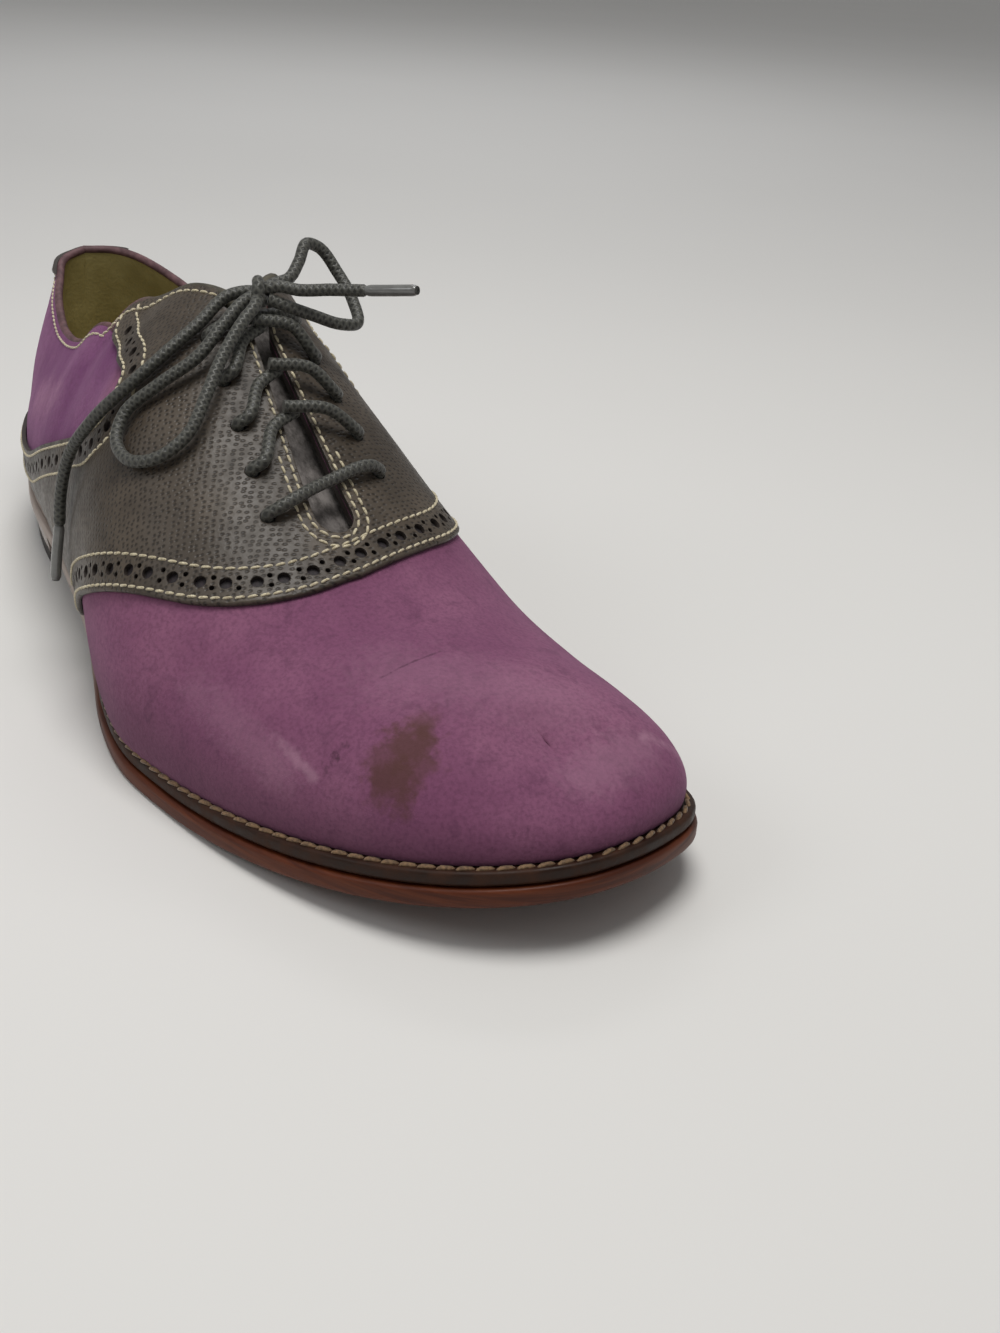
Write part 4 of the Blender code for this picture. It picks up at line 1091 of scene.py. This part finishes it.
def saddle_wall(side):
    """The saddle's grids on one side, from the heel's back to its front edge."""
    edge = FRONT_EDGE[side]
    shares = np.linspace(0.0, 1.0, 57)
    front = smooth([pair[1] for pair in edge], [pair[0] for pair in edge], shares)
    step = 0.002
    ahead = bare_last(side, front + step, shares) - bare_last(side, front - step, shares)
    rate = np.linalg.norm(ahead, axis=-1) / (2 * step)
    turns = np.linspace(0.0, np.pi / 2, 5)
    back = np.concatenate([[2.0 * ROLL], ROLL * (1 - np.sin(turns))])
    drop = np.concatenate([[0.0], ROLL * (1 - np.cos(turns))])
    main = np.linspace(0.0, 1.0, 150)[None, :] * (front - 3.0 * ROLL / rate)[:, None]
    stations = np.concatenate([main, front[:, None] - back[None, :] / rate[:, None]], 1)
    drops = np.concatenate([np.zeros(main.shape[1]), drop])[None, :]
    spread = np.broadcast_to(shares[:, None], stations.shape)
    outer = off_last(side, stations, spread, SKIN_TOP - drops)
    inner = off_last(side, stations, spread, GAP)
    open_top = int(np.searchsorted(stations[-1], RIDGE_STATION)) + 1
    return closed_wall(outer, inner, open_top, (0, 0, 1, 1, 1))


def band_holes(line, side, start, end, pitch):
    """Large holes along the middle of a band, with pairs of small ones between them."""
    places, normals = beside(cover_tree, line, side * BAND_MIDDLE)
    knots = length_along(places)
    count = int((knots[-1] - start - end) / pitch)
    ahead = unit(np.gradient(places, axis=0))
    holes = []
    for k in range(2 * count + 1):
        stop = start + k * pitch / 2
        i = int(np.argmin(np.abs(knots - stop)))
        if k % 2 == 0:
            holes.append((places[i], normals[i], LARGE_HOLE))
        else:
            across = np.cross(normals[i], ahead[i]) * SMALL_SPREAD
            holes += [(places[i] + across, normals[i], SMALL_HOLE),
                      (places[i] - across, normals[i], SMALL_HOLE)]
    return holes


saddle = finish_piece("saddle_shell", mesh_of(saddle_wall(-1) + saddle_wall(1)),
                      (saddle_leather, saddle_edge), ("saddle",))
quarter_plan = np.concatenate(quarter_curve())
quarter_tools = [prism_tool(f"quarter_tool_{side_word(side)}", quarter_plan,
                            (0.0, side * BALL_WIDTH, 0.0), saddle_edge) for side in (-1, 1)]
punched = band_holes(front_edge, 1, 0.006, 0.006, HOLE_PITCH)
for side in (-1, 1):
    punched += band_holes(quarter_edges[side], side, 0.004, 0.006, REAR_PITCH)
punch_tool = object_of("punch_tool", rods(punched, 4 * OVERLAY, 16), (saddle_edge,))
saddle_tools = (*quarter_tools, throat_tool, lace_drills, punch_tool)
carve(saddle, saddle_tools)
for tool in saddle_tools:
    bpy.data.objects.remove(tool)
print(len(punched), "punched holes")

# Dark discs of painted shade lie under the punched holes, between the saddle and the upper
hole_shade_discs = [(place - out * (OVERLAY + GAP * 0.5), out, radius * 1.3)
            for place, out, radius in punched]
finish_piece("punched_hole_shade", rods(hole_shade_discs, GAP * 0.6, 12), (hole_shade_finish,))

# %% [markdown]
# The backstay is a small overlay over the heel's back seam.
# %% Backstay


def make_backstay():
    heights = route([(0.0, w * BALL_WIDTH, z * BACK_HEIGHT) for z, w in BACKSTAY], 0.002)
    shares = np.linspace(0.40, 1.0, 33)
    grids = []
    for side in (-1, 1):
        spine = bare_last(side, 0.0, shares)
        width = np.interp(spine[:, 2], heights[:, 2], heights[:, 1])
        reach = np.linspace(0.0, 0.16, 200)
        rows = []
        for share, wide in zip(shares, width):
            away = np.abs(bare_last(side, reach, share)[:, 1])
            rows.append(np.interp(wide, away, reach) * np.linspace(0.0, 1.0, 14))
        stations = np.array(rows)
        spread = np.broadcast_to(shares[:, None], stations.shape)
        drops = np.where(np.arange(14) == 13, ROLL * 0.5, 0.0)[None, :]
        outer = off_last(side, stations, spread, SKIN_TOP - drops)
        inner = off_last(side, stations, spread, GAP)
        grids += closed_wall(outer, inner, outer.shape[1], (0, 0, 1, 1, 1))
    return finish_piece("backstay_shell", mesh_of(grids), (saddle_leather, saddle_edge),
                        ("backstay",))


backstay = make_backstay()
print("backstay", len(backstay.data.polygons), "faces")

# %% [markdown]
# The tongue lies under the throat and dips where the laces pass.
# %% Tongue


def make_tongue():
    knots, drops = zip(*TONGUE_DROP)
    stations = np.linspace(knots[0], knots[-1], 60)
    shares = np.linspace(TONGUE_EDGE + 0.05, 1.0, 20)
    faces = []
    for depth in (0.0, TONGUE):
        halves = []
        for side in (-1, 1):
            offset = -(WALL + np.interp(stations, knots, drops) + depth)[:, None]
            at = (side, stations[:, None], shares[None, :])
            halves.append(bare_last(*at) + facing_out(*at) * offset[..., None])
        middle = (halves[0][:, -1:] + halves[1][:, -1:]) / 2
        faces.append(np.concatenate([halves[0][:, :-1], middle, halves[1][:, ::-1][:, 1:]], 1))
    top, low = faces
    rims = ((top[0], low[0]), (top[-1], low[-1]), (top[:, 0], low[:, 0]), (top[:, -1], low[:, -1]))
    grids = [(top, 0), (low, 0)] + [(np.stack(rim), 0) for rim in rims]
    return finish_piece("tongue_leaf", mesh_of(grids), (tongue_brushed,), ("tongue",))


tongue = make_tongue()
print("tongue", len(tongue.data.polygons), "faces")

# %% [markdown]
# The outsole and the welt are plates in the sole's outline with rounded edges.
# %% Sole and welt
SOLE_STATIONS = np.linspace(0.0, 1.0, 201)
OUTSOLE_ROUND = 0.0011
WELT_ROUND = 0.0010
HEEL_EDGE = 0.0004


def rounded_edge(inset, high, radius):
    """The rings of a plate's edge: pairs of an inset and a height, from the bottom up."""
    turns = np.linspace(0.0, np.pi / 2, 4)
    rings = [(inset + radius * (1 - math.sin(a)), radius * (1 - math.cos(a))) for a in turns]
    rings += [(inset + radius * (1 - math.cos(a)), high - radius * (1 - math.sin(a)))
              for a in turns]
    return rings


def plate_grids(rings, ground, hole=False):
    """rings are pairs of an inset and a lift above the ground, a function of x."""
    grids = []
    sides = []
    for side in (-1, 1):
        lines = []
        for inset, lift in rings:
            plan = inset_outline(side, SOLE_STATIONS, inset)
            lines.append(np.concatenate([plan, (ground(plan[:, 0]) + lift)[:, None]], 1))
        sides.append(np.stack(lines))
        grids.append((sides[-1], 0))
        if hole:
            grids.append((np.stack([lines[-1], lines[0]]), 0))
    if not hole:
        grids.append((np.stack([sides[0][0], sides[1][0]]), 0))
        grids.append((np.stack([sides[0][-1], sides[1][-1]]), 0))
    return grids


def welt_ground(x):
    return sole_bottom(x) + OUTSOLE + GAP


outsole_rings = rounded_edge(0.0, OUTSOLE, OUTSOLE_ROUND)
finish_piece("outsole_plate", mesh_of(plate_grids(outsole_rings, sole_bottom)), (sole_leather,),
             ("outsole",), 60.0)
welt_rings = [(WELT_REACH, 0.0), *rounded_edge(WELT_STEP, WELT, WELT_ROUND), (WELT_REACH, WELT)]
finish_piece("welt_strip", mesh_of(plate_grids(welt_rings, welt_ground, True)), (welt_waxed,),
             ("welt",), 60.0)
print("sole and welt made")


def heel_layer(name, levels, finish, replaced):
    """A heel layer between levels, each an inset and a height."""
    breast = math.acos(1 - 2 * HEEL_LENGTH / LENGTH) / math.pi
    stations = np.linspace(0.0, breast, 60)
    loops = []
    for inset, height in levels:
        plan = [inset_outline(-1, stations[::-1], inset), inset_outline(1, stations[1:], inset)]
        plan = np.concatenate(plan)
        shares = np.linspace(0.0, 1.0, 24)[1:-1]
        front = plan[-1] + (plan[0] - plan[-1]) * shares[:, None]
        front[:, 0] -= BREAST_HOLLOW * np.sin(np.pi * shares)
        plan = np.concatenate([plan, front, plan[:1]])
        loops.append(np.concatenate([plan, np.full((len(plan), 1), height)], 1))
    bm = mesh_of([(np.stack(loops), 0)])
    for height in (levels[0][1], levels[-1][1]):
        edges = [edge for edge in bm.edges if edge.is_boundary
                 and all(abs(vert.co.z - height) < 1e-6 for vert in edge.verts)]
        bmesh.ops.contextual_create(bm, geom=edges)
    return finish_piece(name, bm, (finish,), (replaced,), 50.0)


heel_waist = EDGE_ROUND + HEEL_TAPER * 0.7
heel_foot = EDGE_ROUND + HEEL_TAPER
heel_layer("heel_lifts", ((heel_waist, TOP_PIECE + GAP), (EDGE_ROUND, HEEL_HEIGHT - GAP)),
           heel_stacked, "heel_stack")
heel_layer("heel_tread", ((heel_foot + HEEL_EDGE, 0.0), (heel_foot, HEEL_EDGE),
                          (heel_waist, TOP_PIECE)), heel_rubber, "heel_top_piece")
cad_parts["insole"].material_slots[0].material = lining
print("heel made, insole finished")

# %% [markdown]
# A thin rolled binding closes the topline: brown purple over the nubuck, and dark olive over the
# saddle's facings, where the wall is thicker.
# %% Bindings
RIM_END = 0.492
SADDLE_RIM = 0.405


def make_rim_finish():
    made = Finish("rolled_rim", roughness=0.6, specular_ior_level=0.4)
    wear = made.noise(300.0, 4.0)
    purple = made.mix(made.between(wear, 0.3, 0.7), (0.070, 0.032, 0.036), (0.145, 0.072, 0.078))
    olive = made.mix(made.between(wear, 0.3, 0.7), (0.035, 0.030, 0.019), (0.075, 0.066, 0.043))
    facing = made.between(made.axis("X"), SHIFT[0] + 0.110, SHIFT[0] + 0.125)
    made.colour(made.mix(facing, purple, olive))
    made.bump(wear, 0.0002)
    return made.material


def rim_run(side):
    """The middle of the wall's top edge from the heel's back to the facing's top."""
    stations = np.linspace(0.0, RIM_END, 220)
    over = ease((stations - SADDLE_RIM + 0.006) / 0.012)
    middle = -WALL / 2 + over * SKIN_TOP / 2
    points = off_last(side, stations, 1.0, middle) - np.array((0.0, 0.0, 0.0004))
    return points, WALL / 2 + 0.00035 + over * SKIN_TOP / 2


lateral_rim, rim_radii = rim_run(-1)
medial_rim, _ = rim_run(1)
rim_line = np.concatenate([lateral_rim[::-1], medial_rim[1:]])
rim_bar = bmesh.new()
add_tube(rim_bar, rim_line, np.concatenate([rim_radii[::-1], rim_radii[1:]]), 12)
finish_piece("topline_binding", rim_bar, (make_rim_finish(),), sharp=80.0)
print("binding made")

# %% [markdown]
# Each stitch is a small pillow of thread. A row of them follows a line on a surface, a pitch
# apart, and each lies a little across its row.
# %% Stitches
STITCH_PITCH = 0.0028
STITCH_LENGTH = 0.00240
STITCH_RADIUS = 0.00036


def stitch_form():
    """One stitch along X, a unit long and thick, as points and faces."""
    sides = 6
    along = np.array((-1.0, -0.88, -0.55, 0.0, 0.55, 0.88, 1.0))
    girth = np.array((0.10, 0.62, 0.95, 1.0, 0.95, 0.62, 0.10))
    sag = -0.9 * along ** 4
    turns = np.linspace(0.0, 2 * np.pi, sides, endpoint=False)
    points = [(x, g * math.cos(a), g * math.sin(a) + s)
              for x, g, s in zip(along, girth, sag) for a in turns]
    faces = [(r * sides + i, r * sides + (i + 1) % sides, (r + 1) * sides + (i + 1) % sides,
              (r + 1) * sides + i) for r in range(len(along) - 1) for i in range(sides)]
    faces += [tuple(range(sides)), tuple(len(points) - sides + i for i in range(sides))]
    return np.array(points), faces


form_points, form_faces = stitch_form()


def stitches(name, lines, finish, pitch=STITCH_PITCH, length=STITCH_LENGTH, radius=STITCH_RADIUS,
             slant=0.10, raised=0.35):
    """Sews rows of stitches along lines, each a pair of places and outward directions."""
    points, faces = [], []
    for places, normals in lines:
        knots = length_along(places)
        ahead = unit(np.gradient(places, axis=0))
        for stop in np.arange(pitch / 2, knots[-1] - pitch / 3, pitch):
            centre = np.array([np.interp(stop, knots, places[:, axis]) for axis in range(3)])
            i = int(np.argmin(np.abs(knots - stop)))
            out = normals[i]
            along = ahead[i] - out * (ahead[i] @ out)
            along = unit(along + np.cross(out, along) * slant)
            across = np.cross(out, along)
            axes = np.stack([along * length / 2, across * radius, out * radius])
            faces += [tuple(len(points) + corner for corner in face) for face in form_faces]
            points += (centre + out * radius * raised + form_points @ axes + SHIFT).tolist()
    mesh = bpy.data.meshes.new(name)
    mesh.from_pydata(points, [], faces)
    bm = bmesh.new()
    bm.from_mesh(mesh)
    bpy.data.meshes.remove(mesh)
    print(name, len(points) // len(form_points), "stitches")
    return finish_piece(name, bm, (finish,), sharp=80.0)


band_rows = [beside(cover_tree, line, turn * distance)
             for line, turn in ((front_edge, 1), (quarter_edges[-1], -1), (quarter_edges[1], 1))
             for distance in (BAND_FIRST, BAND_SECOND)]
stitches("band_stitches", band_rows, cream_thread)

# Two rows run round the throat: a distance from its edge and how far ahead of its open end it stops
THROAT_ROWS = ((0.0012, 0.0125), (0.0034, 0.048))
throat_rows = [cast(cover_tree, [(x, y, FAR_ABOVE) for x, y in throat_outline(distance, -ahead)],
                    (0.0, 0.0, -1.0)) for distance, ahead in THROAT_ROWS]
stitches("throat_stitches", throat_rows, cream_thread)

# One row runs below the topline, first on the nubuck and then on the saddle's facing
RIM_ROW = 0.950
RIM_ROW_TOP = 0.970
rim_rows = []
for side in (-1, 1):
    behind, ahead = np.linspace(0.0, SADDLE_RIM - 0.004, 160), np.linspace(SADDLE_RIM, 0.490, 60)
    rising = np.linspace(RIM_ROW, RIM_ROW_TOP, 60)
    rim_rows += [laid(bare_tree, even(off_last(side, behind, RIM_ROW, 0.0))),
                 laid(cover_tree, even(off_last(side, ahead, rising, SKIN_TOP)))]
stitches("topline_stitches", rim_rows, cream_thread)
print("stitched")

# %% [markdown]
# A tan rope stitch runs along the welt close to the upper.
# %% Welt stitches
ROPE_PITCH = 0.0040
ROPE_LENGTH = 0.0041
ROPE_RADIUS = 0.00055


def welt_line(side):
    stations = np.linspace(0.0, 1.0, 400)
    inset = last("inset", stations) * BALL_WIDTH
    room = WELT_STEP + np.maximum(inset - WELT_STEP, 0.0010) * 0.62
    plan = inset_outline(side, stations, room)
    places = even(np.concatenate([plan, (welt_ground(plan[:, 0]) + WELT)[:, None]], 1))
    return places, np.tile((0.0, 0.0, 1.0), (len(places), 1))


stitches("welt_stitches", [welt_line(-1), welt_line(1)], tan_thread, ROPE_PITCH, ROPE_LENGTH,
         ROPE_RADIUS, slant=0.22, raised=0.3)

# %% [markdown]
# The lace: a straight bar nearest the toe, three crossings, the strands under the knot, and the
# bow. The bow's two loops and two ends are free cords, and their routes repeat the CAD model's.
# Their points came from points of the photograph with depths guessed, and were then moved
# clear of the other pieces.
# %% Lace
LACE_STEP = 0.0007


def lace_piece(name, routes, replaced):
    bm = bmesh.new()
    for points in routes:
        add_tube(bm, route(points, LACE_STEP), LACE / 2, 14)
    return finish_piece(name, bm, (lace_braid,), replaced, 60.0)


def lace_between(pair, lift):
    lateral, medial = strand_start(-1, pair), strand_start(1, pair)
    middle = (lateral[2] + medial[2]) / 2 + np.array((0.0, 0.0, LACE * lift))
    return lateral + [middle] + medial[::-1]


def lace_crossing(pair):
    cross = (eyelet(-1, pair)[0][0] + eyelet(1, pair)[0][0]) / 2 - CROSS_BACK
    low, high = LACE_CLEAR, LACE_CLEAR + LACE * 0.85
    middle = (facing_edge(-1, cross, low * 0.8) + facing_edge(1, cross, low * 0.8)) / 2
    lateral = strand_start(-1, pair) + [facing_edge(-1, cross + LACE, low, LACE), middle]
    medial = strand_start(1, pair)
    medial += [facing_edge(1, cross + LACE * 0.6, high, LACE), facing_edge(-1, cross, high * 0.9)]
    return [lateral, medial]


lace_piece("lace_straight_bar", [lace_between(0, 0.5)], ("lace_bar",))
for pair in range(1, PAIRS - 1):
    lace_piece(f"lace_strands_{pair}", lace_crossing(pair), (f"lace_cross_{pair}",))
lace_piece("lace_strands_under", [lace_between(PAIRS - 1, 0.45)], ("lace_under_knot",))

KNOT_CENTRE = (0.1565, -0.0038, 0.1012)
KNOT_TURN = (0.0028, 0.0012, 0.0024)
LATERAL_LOOP = (
    (0.1572, -0.0052, 0.1005), (0.1585, -0.0082, 0.0995), (0.1618, -0.0145, 0.0955),
    (0.1641, -0.0218, 0.0890), (0.1627, -0.0312, 0.0826), (0.1601, -0.0394, 0.0752),
    (0.1639, -0.0428, 0.0703), (0.1715, -0.0424, 0.0678), (0.1775, -0.0378, 0.0696),
    (0.1787, -0.0306, 0.0748), (0.1750, -0.0246, 0.0820), (0.1694, -0.0184, 0.0890),
    (0.1648, -0.0112, 0.0960), (0.1618, -0.0064, 0.0994), (0.1590, -0.0045, 0.1005),
)
MEDIAL_LOOP = (
    (0.1560, -0.0020, 0.1014), (0.1548, 0.0010, 0.1024), (0.1537, 0.0060, 0.1034),
    (0.1510, 0.0098, 0.1066), (0.1480, 0.0134, 0.1104), (0.1474, 0.0168, 0.1092),
    (0.1505, 0.0208, 0.1032), (0.1566, 0.0220, 0.0978), (0.1622, 0.0206, 0.0930),
    (0.1628, 0.0160, 0.0934), (0.1618, 0.0090, 0.0958), (0.1606, 0.0016, 0.0986),
    (0.1592, -0.0020, 0.1000),
)
LATERAL_END = (
    (0.1566, -0.0032, 0.1012), (0.1548, -0.0058, 0.1011), (0.1534, -0.0090, 0.1003),
    (0.1550, -0.0184, 0.0940),
    (0.1558, -0.0322, 0.0840), (0.1490, -0.0438, 0.0710), (0.1402, -0.0480, 0.0588),
    (0.1374, -0.0498, 0.0475), (0.1377, -0.0506, 0.0406), (0.1380, -0.0518, 0.0332),
    (0.1384, -0.0528, 0.0260),
)
MEDIAL_END = (
    (0.1575, -0.0020, 0.1018), (0.1590, 0.0004, 0.1028), (0.1622, 0.0048, 0.1024),
    (0.1672, 0.0108, 0.1032), (0.1744, 0.0171, 0.1042), (0.1808, 0.0206, 0.1054),
    (0.1870, 0.0241, 0.1066),
)
AGLET_LENGTH = 0.0152


def path_length(points):
    return float(np.linalg.norm(np.diff(points, axis=0), axis=1).sum())


def free_lace(name, points, replaced, aglet_name=None, aglet_node=None):
    """A free stretch of the lace. An end carries its aglet, a clear sleeve over its last part."""
    path = route(points, LACE_STEP)
    radii = np.full(len(path), LACE / 2)
    left = path_length(path) - length_along(path)
    pieces = []
    if aglet_name:
        radii = np.where(left < AGLET_LENGTH, AGLET / 2 - 0.00025, radii)
        sleeve = path[left < AGLET_LENGTH]
        bm = bmesh.new()
        size = np.full(len(sleeve), AGLET / 2 + 0.0001)
        size[:2] -= (0.00030, 0.00008)
        size[-2:] -= (0.00010, 0.00045)
        add_tube(bm, sleeve, size, 18)
        pieces = [finish_piece(aglet_name, bm, (aglet_sleeve,), (aglet_node,), 50.0)]
    bm = bmesh.new()
    add_tube(bm, path, radii, 14)
    piece = finish_piece(name, bm, (lace_braid,), replaced, 60.0)
    return piece, path, pieces


def knot_wrap():
    """The knot's own turn of lace, round the strands that pass through it."""
    turns = np.linspace(0.0, 2 * np.pi, 40)
    long, wave, high = KNOT_TURN
    ring = np.stack([long * np.cos(turns), wave * np.sin(turns / 2), high * np.sin(turns)], -1)
    lean = Matrix.Rotation(math.radians(12.0), 3, "X")
    tilt = Matrix.Rotation(math.radians(-14.0), 3, "Z") @ lean
    ring = ring @ np.array(tilt).T + np.array(KNOT_CENTRE)
    bm = bmesh.new()
    add_tube(bm, ring, LACE / 2, 14)
    return finish_piece("knot_wrap", bm, (lace_braid,), ("lace_knot",), 60.0)


knot = knot_wrap()
for part, side, points, aglet_name, far_end, held in (
        ("loop", "lateral", LATERAL_LOOP, None, "knot", [knot]),
        ("loop", "medial", MEDIAL_LOOP, None, "object", []),
        ("end", "lateral", LATERAL_END, "tip_lateral", "fitting", []),
        ("end", "medial", MEDIAL_END, "tip_medial", "fitting", [])):
    name = f"bow_{part}_{side}"
    node = f"lace_{part}_{side}"
    piece, path, tips = free_lace(name, points, (node,), aglet_name, f"aglet_{side}")
    print(name, round(path_length(path) * 1000, 1), "mm")

# %% [markdown]
# A pale floor, one large soft light from above and a weaker one from the left give the even light
# and the faint shadow of the photograph.
# %% Floor and lights


def make_floor_plane():
    bm = bmesh.new()
    bmesh.ops.create_grid(bm, x_segments=8, y_segments=8, size=12.0)
    mesh = bpy.data.meshes.new("studio_floor")
    bm.to_mesh(mesh)
    bm.free()
    mesh.materials.append(make_floor())
    floor = bpy.data.objects.new("studio_floor", mesh)
    bpy.context.scene.collection.objects.link(floor)


def soft_light(name, place, target, size, power, colour):
    light = bpy.data.lights.new(name, "AREA")
    light.shape = "DISK"
    light.size = size
    light.energy = power
    light.color = colour
    lamp = bpy.data.objects.new(name, light)
    lamp.location = place
    lamp.rotation_euler = (Vector(target) - Vector(place)).to_track_quat("-Z", "Y").to_euler()
    bpy.context.scene.collection.objects.link(lamp)


make_floor_plane()
world = bpy.data.worlds.new("studio")
world.use_nodes = True
world.node_tree.nodes["Background"].inputs[0].default_value = (0.80, 0.80, 0.80, 1.0)
world.node_tree.nodes["Background"].inputs[1].default_value = 0.36
bpy.context.scene.world = world
soft_light("overhead", (0.12, -0.02, 1.00), (0.0, 0.0, 0.03), 0.55, 6.6, (1.0, 0.99, 0.97))
soft_light("window", (-0.10, -0.85, 0.75), (0.0, 0.0, 0.04), 0.5, 1.5, (0.95, 0.97, 1.0))
soft_light("far_fill", (-1.10, 0.60, 1.30), (-1.60, 0.90, 0.0), 0.8, 6.0, (0.97, 0.98, 1.0))
print("floor and lights placed")
